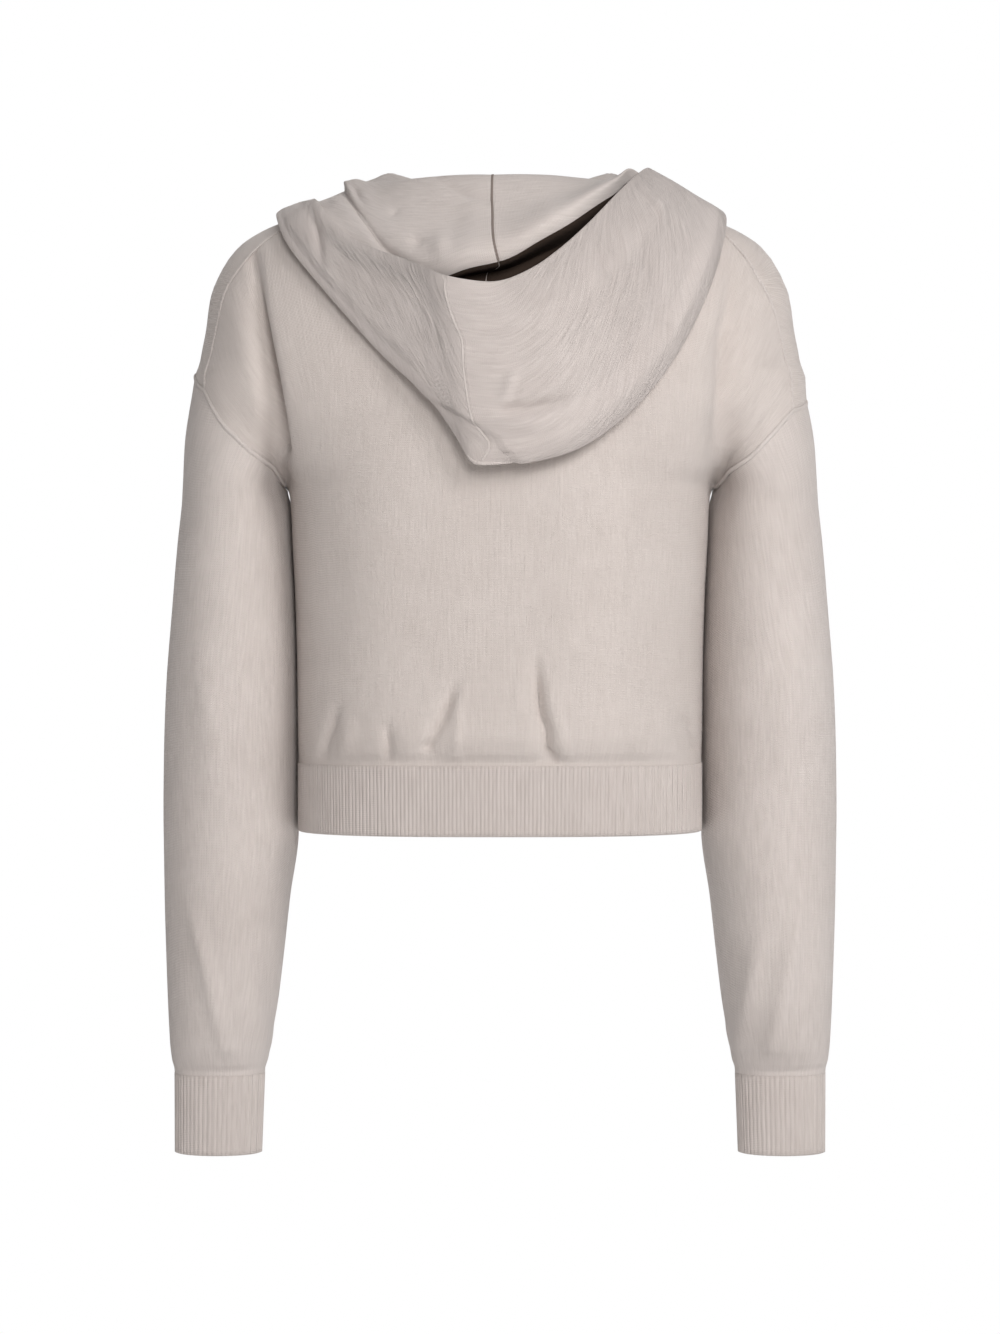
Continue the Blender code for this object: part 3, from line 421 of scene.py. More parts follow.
FRONT_FOLDS = (
    Crease(
        ((0.1535, -0.205), (0.158, -0.165), (0.165, -0.120), (0.172, -0.080)),
        0.009, 0.010, 0.4, 0.1,
    ),
    Crease(
        ((-0.1535, -0.205), (-0.158, -0.165), (-0.164, -0.122), (-0.170, -0.086)),
        0.009, 0.010, 0.4, 0.1,
    ),
    Crease(((0.090, -0.362), (0.098, -0.406)), 0.006, 0.004, 0.2, 0.9),
    Crease(((0.046, -0.350), (0.052, -0.406)), 0.007, 0.005, 0.2, 0.9),
    Crease(((-0.060, -0.356), (-0.054, -0.406)), 0.006, 0.004, 0.2, 0.9),
    Crease(((-0.108, -0.368), (-0.100, -0.406)), 0.006, 0.004, 0.2, 0.9),
)


@dataclass(frozen=True)
class Drape:
    """The folds that both the solids and the shells have, with how they fade at seams."""

    back: tuple[Crease, ...] = BACK_FOLDS
    front: tuple[Crease, ...] = FRONT_FOLDS
    side_fade: float = 0.030
    hem_fade: float = 0.008

    def sink(self, points: Grid, face: Face, more: tuple[Crease, ...] = ()) -> Grid:
        """Sinks points of the form by the folds of a face.

        Args:
            points: places on the form.
            face: the face whose folds count.
            more: finer creases on top of them.

        Returns:
            The sunk places.
        """
        folds = (self.back if face is Face.BACK else self.front) + more
        flat = points[..., [0, 2]]
        sunk = np.zeros(points.shape[:-1])
        for fold in folds:
            sunk += fold.strength(flat)
        sunk *= np.clip(np.abs(points[..., 1]) / self.side_fade, 0, 1)
        sunk *= np.clip((points[..., 2] - HEM_TOP) / self.hem_fade, 0, 1)
        return points - FORM.normal(points) * sunk[..., None]


DRAPE = Drape()


# ---- seams that two pieces share -----------------------------------------------------------
ARMHOLE = {
    Side.LEFT: (
        (0.1525, 0.000, -0.2120),
        (0.1585, 0.034, -0.2000),
        (0.1774, 0.056, -0.1848),
        (0.1940, 0.052, -0.1660),
        (0.2050, 0.038, -0.1430),
        (0.2185, 0.002, -0.1290),
        (0.2060, -0.036, -0.1430),
        (0.1870, -0.056, -0.1690),
        (0.1620, -0.038, -0.1960),
        (0.1525, 0.000, -0.2120),
    ),
    Side.RIGHT: (
        (0.1525, 0.000, -0.2120),
        (0.1590, 0.034, -0.2030),
        (0.1760, 0.056, -0.1910),
        (0.1900, 0.054, -0.1750),
        (0.2010, 0.040, -0.1580),
        (0.2190, 0.002, -0.1480),
        (0.2050, -0.036, -0.1560),
        (0.1870, -0.056, -0.1760),
        (0.1620, -0.038, -0.1980),
        (0.1525, 0.000, -0.2120),
    ),
}
SHOULDER = {
    Side.LEFT: (
        (0.1200, 0.034, -0.012),
        (0.1517, 0.037, -0.028),
        (0.1780, 0.039, -0.049),
        (0.1960, 0.039, -0.076),
        (0.2035, 0.038, -0.112),
    ),
    Side.RIGHT: (
        (0.1200, 0.034, -0.013),
        (0.1538, 0.037, -0.034),
        (0.1770, 0.040, -0.060),
        (0.1937, 0.040, -0.0935),
        (0.1990, 0.040, -0.128),
    ),
}


@dataclass(frozen=True)
class Seams:
    """Seam lines of the body, shared by the pieces on both sides of them."""

    shoulder_steps: int = 64
    neck_steps: int = 44
    arm_back_steps: int = 60
    arm_front_steps: int = 66
    meets_shoulder: int = 4
    part: float = 0.0009
    reach: float = 0.016

    def armhole(self, side: Side, for_sleeve: bool) -> tuple[Grid, Grid]:
        """Makes the armhole seam.

        Args:
            side: left or right.
            for_sleeve: whether the sleeve's own edge is wanted, under the arm.

        Returns:
            Its back and front stretches, both from the underarm.
        """
        table = ARMHOLE[side]
        back = along(table[: self.meets_shoulder + 1], self.arm_back_steps + 1)
        front = along(table[self.meets_shoulder :][::-1], self.arm_front_steps + 1)
        stretches = []
        for rough, face in ((back, Face.BACK), (front, Face.FRONT)):
            seam = DRAPE.sink(FORM.lay(rough), face)
            seam[0] = table[0]
            near = np.exp(-(((seam[:, 2] - UNDERARM) / self.reach) ** 2))
            seam[:, 0] += near * (self.part if for_sleeve else -self.part)
            stretches.append(mirrored(seam, side))
        stretches[1][-1] = stretches[0][-1]
        return stretches[0], stretches[1]

    def neck(self, side: Side, start: float, stop: float) -> Grid:
        """Stretch of the neck seam between two angles from the centre back."""
        turns = np.linspace(start, stop, self.neck_steps + 1)
        return mirrored(FORM.neck_point(turns), side)

    def shoulder(self, side: Side) -> Grid:
        """Shoulder seam from the neck to the armhole."""
        first = FORM.neck_point(NECK_SEAM_DEGREES)
        last = mirrored(self.armhole(side, False)[0][-1], side)
        rough = along([first, *SHOULDER[side], last], self.shoulder_steps + 1)
        seam = DRAPE.sink(FORM.lay(rough), Face.BACK)
        seam[0], seam[-1] = first, last
        return mirrored(seam, side)


SEAMS = Seams()
FRONT_SEAMS = Seams(shoulder_steps=46, neck_steps=30)


# ---- node groups ---------------------------------------------------------------------------
class GroupMaker:
    """Builds a shader node group with named sockets and short chains of maths."""

    def __init__(
        self, name: str, inputs: dict[str, float | None], outputs: tuple[str, ...],
    ) -> None:
        """Starts a group.

        Args:
            name: the group's name.
            inputs: input names with their first values; None makes a vector.
            outputs: output names; all of them are single values.
        """
        self.tree = bpy.data.node_groups.new(name, "ShaderNodeTree")
        for label, value in inputs.items():
            kind = "NodeSocketVector" if value is None else "NodeSocketFloat"
            made = self.tree.interface.new_socket(label, in_out="INPUT", socket_type=kind)
            if value is not None:
                made.default_value = value
        for label in outputs:
            self.tree.interface.new_socket(label, in_out="OUTPUT", socket_type="NodeSocketFloat")
        self.inside = self.tree.nodes.new("NodeGroupInput")
        self.outside = self.tree.nodes.new("NodeGroupOutput")

    def given(self, name: str) -> bpy.types.NodeSocket:
        """The group's input of that name, as a source."""
        return self.inside.outputs[name]

    def put(self, name: str, source: bpy.types.NodeSocket) -> None:
        """Sends a source to the group's output of that name."""
        self.tree.links.new(source, self.outside.inputs[name])

    def maths(self, operation: str, *values: bpy.types.NodeSocket | float) -> bpy.types.NodeSocket:
        """Adds a Math node.

        Args:
            operation: Blender's name for it.
            values: its inputs, as sources or numbers.

        Returns:
            Its output.
        """
        node = self.tree.nodes.new("ShaderNodeMath")
        node.operation = operation
        for slot, value in zip(node.inputs, values):
            if isinstance(value, bpy.types.NodeSocket):
                self.tree.links.new(value, slot)
            else:
                slot.default_value = value
        return node.outputs[0]

    def split(self, vector: bpy.types.NodeSocket) -> tuple[bpy.types.NodeSocket, ...]:
        """The x, y and z of a vector source."""
        node = self.tree.nodes.new("ShaderNodeSeparateXYZ")
        self.tree.links.new(vector, node.inputs[0])
        return tuple(node.outputs)

    def joined(self, *values: bpy.types.NodeSocket) -> bpy.types.NodeSocket:
        """A vector source made of up to three single ones."""
        node = self.tree.nodes.new("ShaderNodeCombineXYZ")
        for slot, value in zip(node.inputs, values):
            self.tree.links.new(value, slot)
        return node.outputs[0]

    def noise(
        self, vector: bpy.types.NodeSocket, scale: bpy.types.NodeSocket | float, detail: float,
    ) -> bpy.types.NodeSocket:
        """Adds a Noise Texture node.

        Args:
            vector: where it is read.
            scale: how fine it is.
            detail: how many octaves it has.

        Returns:
            Its value.
        """
        node = self.tree.nodes.new("ShaderNodeTexNoise")
        self.tree.links.new(vector, node.inputs["Vector"])
        if isinstance(scale, bpy.types.NodeSocket):
            self.tree.links.new(scale, node.inputs["Scale"])
        else:
            node.inputs["Scale"].default_value = scale
        node.inputs["Detail"].default_value = detail
        return node.outputs[0]


def stitch_group() -> bpy.types.NodeTree:
    """Knit stitches: columns of slanted legs, read across and along the wales in metres."""
    made = GroupMaker(
        "knit_stitches", {"Metres": None, "Wale": 0.0016, "Course": 0.0012},
        ("Height", "Painted_Hollow_Shade"),
    )
    across, up, _ = made.split(made.given("Metres"))
    wale = made.maths("DIVIDE", across, made.given("Wale"))
    course = made.maths("DIVIDE", up, made.given("Course"))
    place = made.maths("SUBTRACT", made.maths("FRACT", wale), 0.5)
    away = made.maths("MULTIPLY", made.maths("ABSOLUTE", place), 2.0)
    leg = made.maths("ABSOLUTE", made.maths("SINE", made.maths("MULTIPLY", away, math.pi)))
    slant = made.maths("SUBTRACT", course, made.maths("MULTIPLY", away, 0.55))
    strand = made.maths("SINE", made.maths("MULTIPLY", slant, 2 * math.pi))
    wave = made.maths("MULTIPLY_ADD", strand, 0.3, 0.7)
    height = made.maths("MULTIPLY", made.maths("POWER", leg, 0.6), wave)
    made.put("Height", height)
    # Painted shade: the hollows between the legs are given the darker tone.
    made.put("Painted_Hollow_Shade", made.maths("SUBTRACT", 1.0, height))
    return made.tree


def purl_group() -> bpy.types.NodeTree:
    """The wrong side of the knit: staggered rows of short arcs."""
    made = GroupMaker(
        "purl_bumps", {"Metres": None, "Wale": 0.0016, "Course": 0.0012}, ("Height", "Painted_Hollow_Shade"),
    )
    across, up, _ = made.split(made.given("Metres"))
    turn = made.maths("MULTIPLY", made.maths("DIVIDE", across, made.given("Wale")), 2 * math.pi)
    arc = made.maths("MULTIPLY", made.maths("SINE", turn), 0.22)
    row = made.maths("ADD", made.maths("DIVIDE", up, made.given("Course")), arc)
    ridge = made.maths("ABSOLUTE", made.maths("SINE", made.maths("MULTIPLY", row, math.pi)))
    height = made.maths("POWER", ridge, 0.7)
    made.put("Height", height)
    # Painted shade: the hollows between the rows of arcs are given the darker tone.
    made.put("Painted_Hollow_Shade", made.maths("SUBTRACT", 1.0, height))
    return made.tree


def weave_group() -> bpy.types.NodeTree:
    """Plain weave of fine threads that pass over and under each other."""
    made = GroupMaker(
        "tape_weave", {"Metres": None, "Wale": 0.0009, "Course": 0.0006}, ("Height", "Painted_Hollow_Shade"),
    )
    across, up, _ = made.split(made.given("Metres"))
    warp = made.maths("MULTIPLY", made.maths("DIVIDE", across, made.given("Wale")), math.pi)
    weft = made.maths("MULTIPLY", made.maths("DIVIDE", up, made.given("Course")), math.pi)
    crossing = made.maths("MULTIPLY", made.maths("SINE", warp), made.maths("SINE", weft))
    height = made.maths("MULTIPLY_ADD", crossing, 0.5, 0.5)
    made.put("Height", height)
    # Painted shade: the hollows between the crossings are given the darker tone.
    made.put("Painted_Hollow_Shade", made.maths("SUBTRACT", 1.0, height))
    return made.tree


def fuzz_group() -> bpy.types.NodeTree:
    """Loose fibres and the slow shift of tone of one dye lot, over the object's own space."""
    made = GroupMaker(
        "yarn_fuzz", {"Place": None, "Fine": 2600.0, "Broad": 14.0}, ("Height", "Mottle"),
    )
    fine = made.noise(made.given("Place"), made.given("Fine"), 3.0)
    broad = made.noise(made.given("Place"), made.given("Broad"), 2.0)
    made.put("Height", fine)
    half = made.maths("MULTIPLY", fine, 0.45)
    made.put("Mottle", made.maths("MULTIPLY_ADD", broad, 0.55, half))
    return made.tree


def streak_group() -> bpy.types.NodeTree:
    """Uneven yarns: thin streaks that run along the wales, read in metres."""
    made = GroupMaker("yarn_streaks", {"Metres": None, "Wide": 0.0014, "Long": 0.022}, ("Streak",))
    across, up, _ = made.split(made.given("Metres"))
    place = made.joined(
        made.maths(
            "DIVIDE", across, made.given("Wide"),
        ), made.maths("DIVIDE", up, made.given("Long"))
    )
    made.put("Streak", made.noise(place, 1.0, 2.0))
    return made.tree


def wear_group() -> bpy.types.NodeTree:
    """Fine brushed marks and handling smudges of small metal parts."""
    made = GroupMaker(
        "metal_marks", {"Place": None, "Fine": 5200.0, "Broad": 420.0}, ("Marks", "Smudge"),
    )
    made.put("Marks", made.noise(made.given("Place"), made.given("Fine"), 4.0))
    made.put("Smudge", made.noise(made.given("Place"), made.given("Broad"), 2.0))
    return made.tree


# ---- finishes ------------------------------------------------------------------------------
Colour = tuple[float, float, float]


class Stitch(Enum):
    """The small pattern of a cloth; its value makes the node group."""

    PLAIN = "knit_stitches"
    PURL = "purl_bumps"
    WEAVE = "tape_weave"

    def group(self) -> bpy.types.NodeTree:
        """The pattern's node group, built once."""
        makers = {
            "knit_stitches": stitch_group,
            "purl_bumps": purl_group,
            "tape_weave": weave_group,
        }
        return bpy.data.node_groups.get(self.value) or makers[self.value]()


class Wiring:
    """One material under construction: adds nodes and joins them to its shader."""

    def __init__(self, name: str, **shader: float) -> None:
        """Starts a material.

        Args:
            name: its name.
            shader: plain values of the shader's sockets, with _ for a space.
        """
        self.made = bpy.data.materials.new(name)
        self.made.use_nodes = True
        self.shader = self.made.node_tree.nodes["Principled BSDF"]
        for label, value in shader.items():
            self.shader.inputs[label.replace("_", " ")].default_value = value

    def join(self, source: bpy.types.NodeSocket, node: bpy.types.Node, socket: str | int) -> None:
        """Links a source to a node's socket."""
        self.made.node_tree.links.new(source, node.inputs[socket])

    def node(self, kind: str, inputs: dict | None = None, **settings: object) -> bpy.types.Node:
        """Adds a node.

        Args:
            kind: its type, without the common start of the name.
            inputs: values or sources by socket.
            settings: its own properties.

        Returns:
            The node.
        """
        node = self.made.node_tree.nodes.new("ShaderNode" + kind)
        for label, value in settings.items():
            setattr(node, label, value)
        for socket, value in (inputs or {}).items():
            if isinstance(value, bpy.types.NodeSocket):
                self.join(value, node, socket)
            else:
                node.inputs[socket].default_value = value
        return node

    def group(self, tree: bpy.types.NodeTree, **inputs: object) -> bpy.types.Node:
        """Places a node group with its own values."""
        return self.node("Group", inputs, node_tree=tree)

    def maths(self, operation: str, *values: object, clamp: bool = False) -> bpy.types.NodeSocket:
        """Adds a maths node on values or sources in order."""
        inputs = dict(enumerate(values))
        return self.node("Math", inputs, operation=operation, use_clamp=clamp).outputs[0]

    def tone(self, light: Colour, deep: Colour, share: bpy.types.NodeSocket) -> None:
        """Colours the shader between two tones by a share."""
        inputs = {"A": (*light, 1), "B": (*deep, 1), "Factor": share}
        mixed = self.node("Mix", inputs, data_type="RGBA")
        self.join(mixed.outputs["Result"], self.shader, "Base Color")

    def relief(self, *layers: tuple[float, bpy.types.NodeSocket]) -> None:
        """Bumps the shader's normal by heights, each over the one before it."""
        below = {}
        for distance, height in layers:
            bump = self.node("Bump", {"Distance": distance, "Height": height, **below})
            below = {"Normal": bump.outputs[0]}
        self.join(below["Normal"], self.shader, "Normal")


@dataclass(frozen=True)
class ClothFinish:
    """A knitted or woven finish: tone that varies at random with mottle and yarn streaks, and painted shade that
    darkens the stitch hollows.
    """

    name: str
    light: Colour
    deep: Colour
    stitch: Stitch = Stitch.PLAIN
    wale: float = 0.0016
    course: float = 0.0012
    relief: float = 0.00030
    fuzz: float = 0.00012
    contrast: float = 0.42
    streaks: float = 0.9
    yarn_relief: float = 0.00035
    yarn: float = 0.0014
    roughness: float = 0.92
    sheen: float = 0.22
    sheen_roughness: float = 0.45
    specular: float = 0.18
    mottle: tuple[float, float] = (0.9, -0.30)

    def material(self) -> bpy.types.Material:
        """Builds the material, or finds it.

        Returns:
            The material.
        """
        found = bpy.data.materials.get(self.name)
        if found:
            return found
        wiring = Wiring(
            self.name, Roughness=self.roughness, Specular_IOR_Level=self.specular,
            Sheen_Weight=self.sheen, Sheen_Roughness=self.sheen_roughness,
        )
        metres = wiring.node("UVMap", uv_map=UV_NAME).outputs[0]
        place = wiring.node("TexCoord").outputs["Object"]
        stitches = wiring.group(
            self.stitch.group(), Wale=self.wale, Course=self.course, Metres=metres,
        )
        fuzz = wiring.group(bpy.data.node_groups.get("yarn_fuzz") or fuzz_group(), Place=place)
        streaks = bpy.data.node_groups.get("yarn_streaks") or streak_group()
        yarns = wiring.group(streaks, Wide=self.yarn, Metres=metres)
        painted_hollow_shade, streak = stitches.outputs["Painted_Hollow_Shade"], yarns.outputs["Streak"]
        mottle = wiring.maths("MULTIPLY_ADD", fuzz.outputs["Mottle"], *self.mottle)
        # Painted shade: the stitch hollows are mixed towards the deep tone, on top of the random mottle.
        share = wiring.maths("MULTIPLY_ADD", painted_hollow_shade, self.contrast, mottle)
        uneven = wiring.maths("MULTIPLY_ADD", streak, self.streaks, share)
        centred = wiring.maths("SUBTRACT", uneven, self.streaks / 2, clamp=True)
        wiring.tone(self.light, self.deep, centred)
        wiring.relief(
            (self.relief, stitches.outputs["Height"]),
            (self.yarn_relief, streak),
            (self.fuzz, fuzz.outputs["Height"]),
        )
        return wiring.made


@dataclass(frozen=True)
class MetalFinish:
    """Satin plated metal of the zip."""

    name: str
    light: Colour = (0.66, 0.63, 0.60)
    deep: Colour = (0.40, 0.37, 0.35)
    smooth: float = 0.26
    rough: float = 0.46
    mark_depth: float = 0.00002

    def material(self) -> bpy.types.Material:
        """Builds the material, or finds it.

        Returns:
            The material.
        """
        found = bpy.data.materials.get(self.name)
        if found:
            return found
        wiring = Wiring(self.name, Metallic=1.0)
        place = wiring.node("TexCoord").outputs["Object"]
        marks = wiring.group(bpy.data.node_groups.get("metal_marks") or wear_group(), Place=place)
        wiring.tone(self.light, self.deep, marks.outputs["Smudge"])
        inputs = {"To Min": self.smooth, "To Max": self.rough, "Value": marks.outputs["Marks"]}
        wiring.join(wiring.node("MapRange", inputs).outputs[0], wiring.shader, "Roughness")
        wiring.relief((self.mark_depth, marks.outputs["Marks"]))
        return wiring.made


KNIT = ClothFinish("knit_right_side", (0.640, 0.572, 0.535), (0.470, 0.405, 0.370), streaks=0.6)
KNIT_INSIDE = ClothFinish(
    "knit_wrong_side", (0.640, 0.572, 0.538), (0.440, 0.380, 0.350), Stitch.PURL, contrast=0.36
)
# Painted shade: near-black knit that stands in for the shadow deep in the hood bag.
KNIT_PAINTED_SHADE = ClothFinish(
    "knit_painted_shade_in_bag", (0.046, 0.030, 0.022), (0.024, 0.015, 0.011), Stitch.PURL,
    streaks=0.5, sheen=0.0
)
KNIT_HOOD = ClothFinish(
    "knit_hood_side", (0.640, 0.572, 0.540), (0.430, 0.370, 0.343), contrast=0.5, streaks=0.9,
)
# Painted shadow: a dark thread colour that stands in for the shade in the valley of the hood's inner centre seam.
SEAM_PAINTED_SHADOW = ClothFinish(
    "seam_painted_shadow", (0.260, 0.215, 0.192), (0.150, 0.118, 0.102), streaks=0.4, sheen=0.0,
)
RIB = ClothFinish("rib_knit", (0.600, 0.535, 0.503), (0.430, 0.370, 0.340), course=0.0013)
THREAD = ClothFinish(
    "seam_thread", (0.680, 0.612, 0.578), (0.500, 0.435, 0.400), wale=0.0010, course=0.0008,
)
TAPE = ClothFinish(
    "zip_tape_weave", (0.56, 0.49, 0.46), (0.38, 0.32, 0.29), Stitch.WEAVE, 0.0009, 0.0006,
    relief=0.00010
)
METAL = MetalFinish("zip_metal_satin")


# ---- meshes --------------------------------------------------------------------------------
def mesh_from(
    name: str, points: Grid, quads: Grid, metres: Grid, slots: Grid, finishes: tuple,
) -> bpy.types.Object:
    """Makes a smooth object from arrays.

    Args:
        name: the piece's name.
        points: its points.
        quads: four point numbers a face.
        metres: flat place of each face corner, in metres.
        slots: number of each face's finish.
        finishes: the finishes.

    Returns:
        The object, right side out.
    """
    corners = points[quads]
    volume = sum(np.linalg.det(corners[:, [0, k, k + 1]]).sum() for k in (1, 2))
    if volume < 0:
        quads, metres = quads[:, ::-1], metres[:, ::-1]
    mesh = bpy.data.meshes.new(name)
    mesh.vertices.add(len(points))
    mesh.vertices.foreach_set("co", np.ascontiguousarray(points, np.float32).ravel())
    mesh.loops.add(quads.size)
    mesh.loops.foreach_set("vertex_index", np.ascontiguousarray(quads, np.int32).ravel())
    mesh.polygons.add(len(quads))
    mesh.polygons.foreach_set("loop_start", np.arange(0, quads.size, 4, dtype=np.int32))
    mesh.polygons.foreach_set("loop_total", np.full(len(quads), 4, np.int32))
    mesh.polygons.foreach_set("use_smooth", np.ones(len(quads), bool))
    mesh.polygons.foreach_set("material_index", np.ascontiguousarray(slots, np.int32))
    layer = mesh.uv_layers.new(name=UV_NAME)
    layer.data.foreach_set("uv", np.ascontiguousarray(metres, np.float32).ravel())
    for finish in finishes:
        mesh.materials.append(finish.material())
    mesh.update()
    mesh.validate()
    made = bpy.data.objects.new(name, mesh)
    bpy.context.scene.collection.objects.link(made)
    return made


@dataclass
class Shell:
    """A cloth wall about a grid of middle points."""

    name: str
    grid: Grid
    thick: float = WALL
    closed: bool = False
    rise: Grid | None = None
    normals: Grid | None = None
    finishes: tuple = (KNIT, KNIT_INSIDE)
    metres: Grid | None = None
    # deep: faces whose inner side takes the third finish, the painted shade in the hood bag.
    deep: tuple[slice, slice] | None = None

    def directions(self) -> Grid:
        """Unit normals of the grid; a closed one joins its last column to its first."""
        if self.normals is not None:
            return self.normals
        if self.closed:
            across = np.roll(self.grid, -1, 1) - np.roll(self.grid, 1, 1)
        else:
            across = np.gradient(self.grid, axis=1)
        return unit(np.cross(across, np.gradient(self.grid, axis=0)))

    def flat(self) -> Grid:
        """Place of each grid corner on the flat cloth, with one more column where it is closed."""
        if self.metres is not None:
            return self.metres
        grid = np.concatenate([self.grid, self.grid[:, :1]], 1) if self.closed else self.grid
        steps = np.linalg.norm(np.diff(grid, axis=1), axis=-1).mean(0)
        across = np.concatenate([[0], np.cumsum(steps)])
        up = np.linalg.norm(np.diff(grid, axis=0), axis=-1)
        up = np.concatenate([np.zeros((1, grid.shape[1])), np.cumsum(up, 0)])
        return np.stack([np.broadcast_to(across - across.mean(), up.shape), up], -1)

    def build(self) -> bpy.types.Object:
        """Makes the wall with soft round edges.

        Returns:
            Its object.
        """
        rows, columns = self.grid.shape[:2]
        count = rows * columns
        normals = self.directions()
        lift = self.thick / 2 if self.rise is None else self.thick / 2 + self.rise
        outer = self.grid + normals * np.broadcast_to(lift, self.grid.shape[:2])[..., None]
        inner = self.grid - normals * self.thick / 2
        number = np.arange(count).reshape(rows, columns)
        flat = self.flat()
        if self.closed:
            number = np.concatenate([number, number[:, :1]], 1)
        cell = [number[:-1, :-1], number[:-1, 1:], number[1:, 1:], number[1:, :-1]]
        place = [flat[:-1, :-1], flat[:-1, 1:], flat[1:, 1:], flat[1:, :-1]]
        skin = np.stack(cell, -1).reshape(-1, 4)
        spread = np.stack(place, -2).reshape(-1, 4, 2)
        quads, metres = [skin, skin[:, ::-1] + count], [spread, spread[:, ::-1]]
        within = np.ones((rows - 1, number.shape[1] - 1))
        # These faces take the third finish: painted shade where it is set.
        if self.deep:
            within[self.deep] = 2
        slots = [np.zeros(len(skin)), within.ravel()]
        points = [outer.reshape(-1, 3), inner.reshape(-1, 3)]
        total = 2 * count
        for edge, next_row, uv, flip in self.rims(number, flat):
            middle = self.grid.reshape(-1, 3)[edge]
            away = unit(middle - self.grid.reshape(-1, 3)[next_row])
            bulge = middle + away * self.thick * RIM_BULGE
            here = np.arange(len(edge)) + total
            total += len(edge)
            points.append(bulge)
            for near, far in ((edge, here), (here, edge + count)):
                rim = np.stack([near[:-1], near[1:], far[1:], far[:-1]], -1)
                turn = np.stack([uv[:-1], uv[1:], uv[1:], uv[:-1]], -2)
                quads.append(rim[:, ::-1] if flip else rim)
                metres.append(turn[:, ::-1] if flip else turn)
                slots.append(np.zeros(len(rim)))
        return mesh_from(
            self.name, np.concatenate(points), np.concatenate(quads),
            np.concatenate(metres), np.concatenate(slots), self.finishes,
        )

    def rims(self, number: Grid, flat: Grid) -> list[tuple[Grid, Grid, Grid, bool]]:
        """The wall's edges.

        Args:
            number: point numbers of the grid.
            flat: its flat places.

        Returns:
            For each edge its points, those one row in, its flat places and its turn.
        """
        found = [
            (number[0], number[1], flat[0], True),
            (number[-1], number[-2], flat[-1], False),
        ]
        if not self.closed:
            found.append((number[:, 0], number[:, 1], flat[:, 0], False))
            found.append((number[:, -1], number[:, -2], flat[:, -1], True))
        return found


@dataclass
class SeamBead:
    """A raised seam: a flat round bead that lies along a line on the cloth, with its stitches."""

    name: str
    path: Grid
    normals: Grid
    wide: float = 0.0017
    high: float = 0.0008
    pitch: float = 0.0026
    around: int = 8
    finish: ClothFinish = THREAD

    def build(self) -> bpy.types.Object:
        """Sweeps the bead.

        Returns:
            Its object.
        """
        run = run_of(self.path)
        count = max(8, int(run[-1] / (self.pitch / 4)))
        want = np.linspace(0, run[-1], count)
        spine = np.stack([np.interp(want, run, self.path[:, k]) for k in range(3)], 1)
        out = unit(np.stack([np.interp(want, run, self.normals[:, k]) for k in range(3)], 1))
        ahead = unit(np.gradient(spine, axis=0))
        side = unit(np.cross(out, ahead))
        turn = np.linspace(0, 2 * math.pi, self.around + 1)[:-1]
        beat = 1 + 0.16 * np.sin(want / self.pitch * 2 * math.pi)
        taper = np.clip(np.minimum(want, run[-1] - want) / 0.003, 0.15, 1)
        across = np.cos(turn)[None, :, None] * side[:, None] * (self.wide * beat * taper)[:, None, None]
        lift = np.sin(turn)[None, :, None] * out[:, None] * (self.high * beat * taper)[:, None, None]
        ring = spine[:, None] + across + lift
        number = np.arange(count * self.around).reshape(count, self.around)
        number = np.concatenate([number, number[:, :1]], 1)
        quads = np.stack(
            [number[:-1, :-1], number[:-1, 1:], number[1:, 1:], number[1:, :-1]], -1,
        ).reshape(-1, 4)
        u = np.linspace(0, self.wide * 4, self.around + 1)
        flat = np.stack(np.broadcast_arrays(u[None, :], want[:, None]), -1)
        metres = np.stack(
            [flat[:-1, :-1], flat[:-1, 1:], flat[1:, 1:], flat[1:, :-1]], -2,
        ).reshape(-1, 4, 2)
        tips = np.arange(2) + count * self.around
        points = np.concatenate([ring.reshape(-1, 3), spine[[0, -1]]])
        caps, cap_metres = [], []
        for tip, row, flip in ((tips[0], number[0], True), (tips[1], number[-1], False)):
            for k in range(0, self.around, 2):
                cap = np.array([tip, row[k], row[k + 1], row[k + 2]])
                caps.append(cap[::-1] if flip else cap)
                cap_metres.append(np.zeros((4, 2)))
        quads = np.concatenate([quads, np.array(caps)])
        metres = np.concatenate([metres, np.array(cap_metres)])
        return mesh_from(self.name, points, quads, metres, np.zeros(len(quads)), (self.finish,))


def dressed(
    piece: bpy.types.Object, node: str | tuple[str, ...] | None, body: str = GARMENT,
) -> bpy.types.Object:
    """Puts a piece on its body.

    Args:
        piece: the piece.
        node: CAD node or nodes that it stands for.
        body: the body that it rides on.

    Returns:
        The piece.
    """
    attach(piece, body)
    if node:
        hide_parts(*([node] if isinstance(node, str) else node))
    LOG.info("%s: %d faces", piece.name, len(piece.data.polygons))
    return piece


def patch(low: Grid, high: Grid, first: Grid, last: Grid) -> Grid:
    """Fills a grid between its edges.

    Args:
        low: first row.
        high: last row.
        first: first column.
        last: last column.

    Returns:
        The grid.
    """
    u = np.linspace(0, 1, len(low))[None, :, None]
    v = np.linspace(0, 1, len(first))[:, None, None]
    rows = (1 - v) * low[None] + v * high[None]
    columns = (1 - u) * first[:, None] + u * last[:, None]
    corners = (1 - v) * ((1 - u) * low[0] + u * low[-1]) + v * ((1 - u) * high[0] + u * high[-1])
    return rows + columns - corners


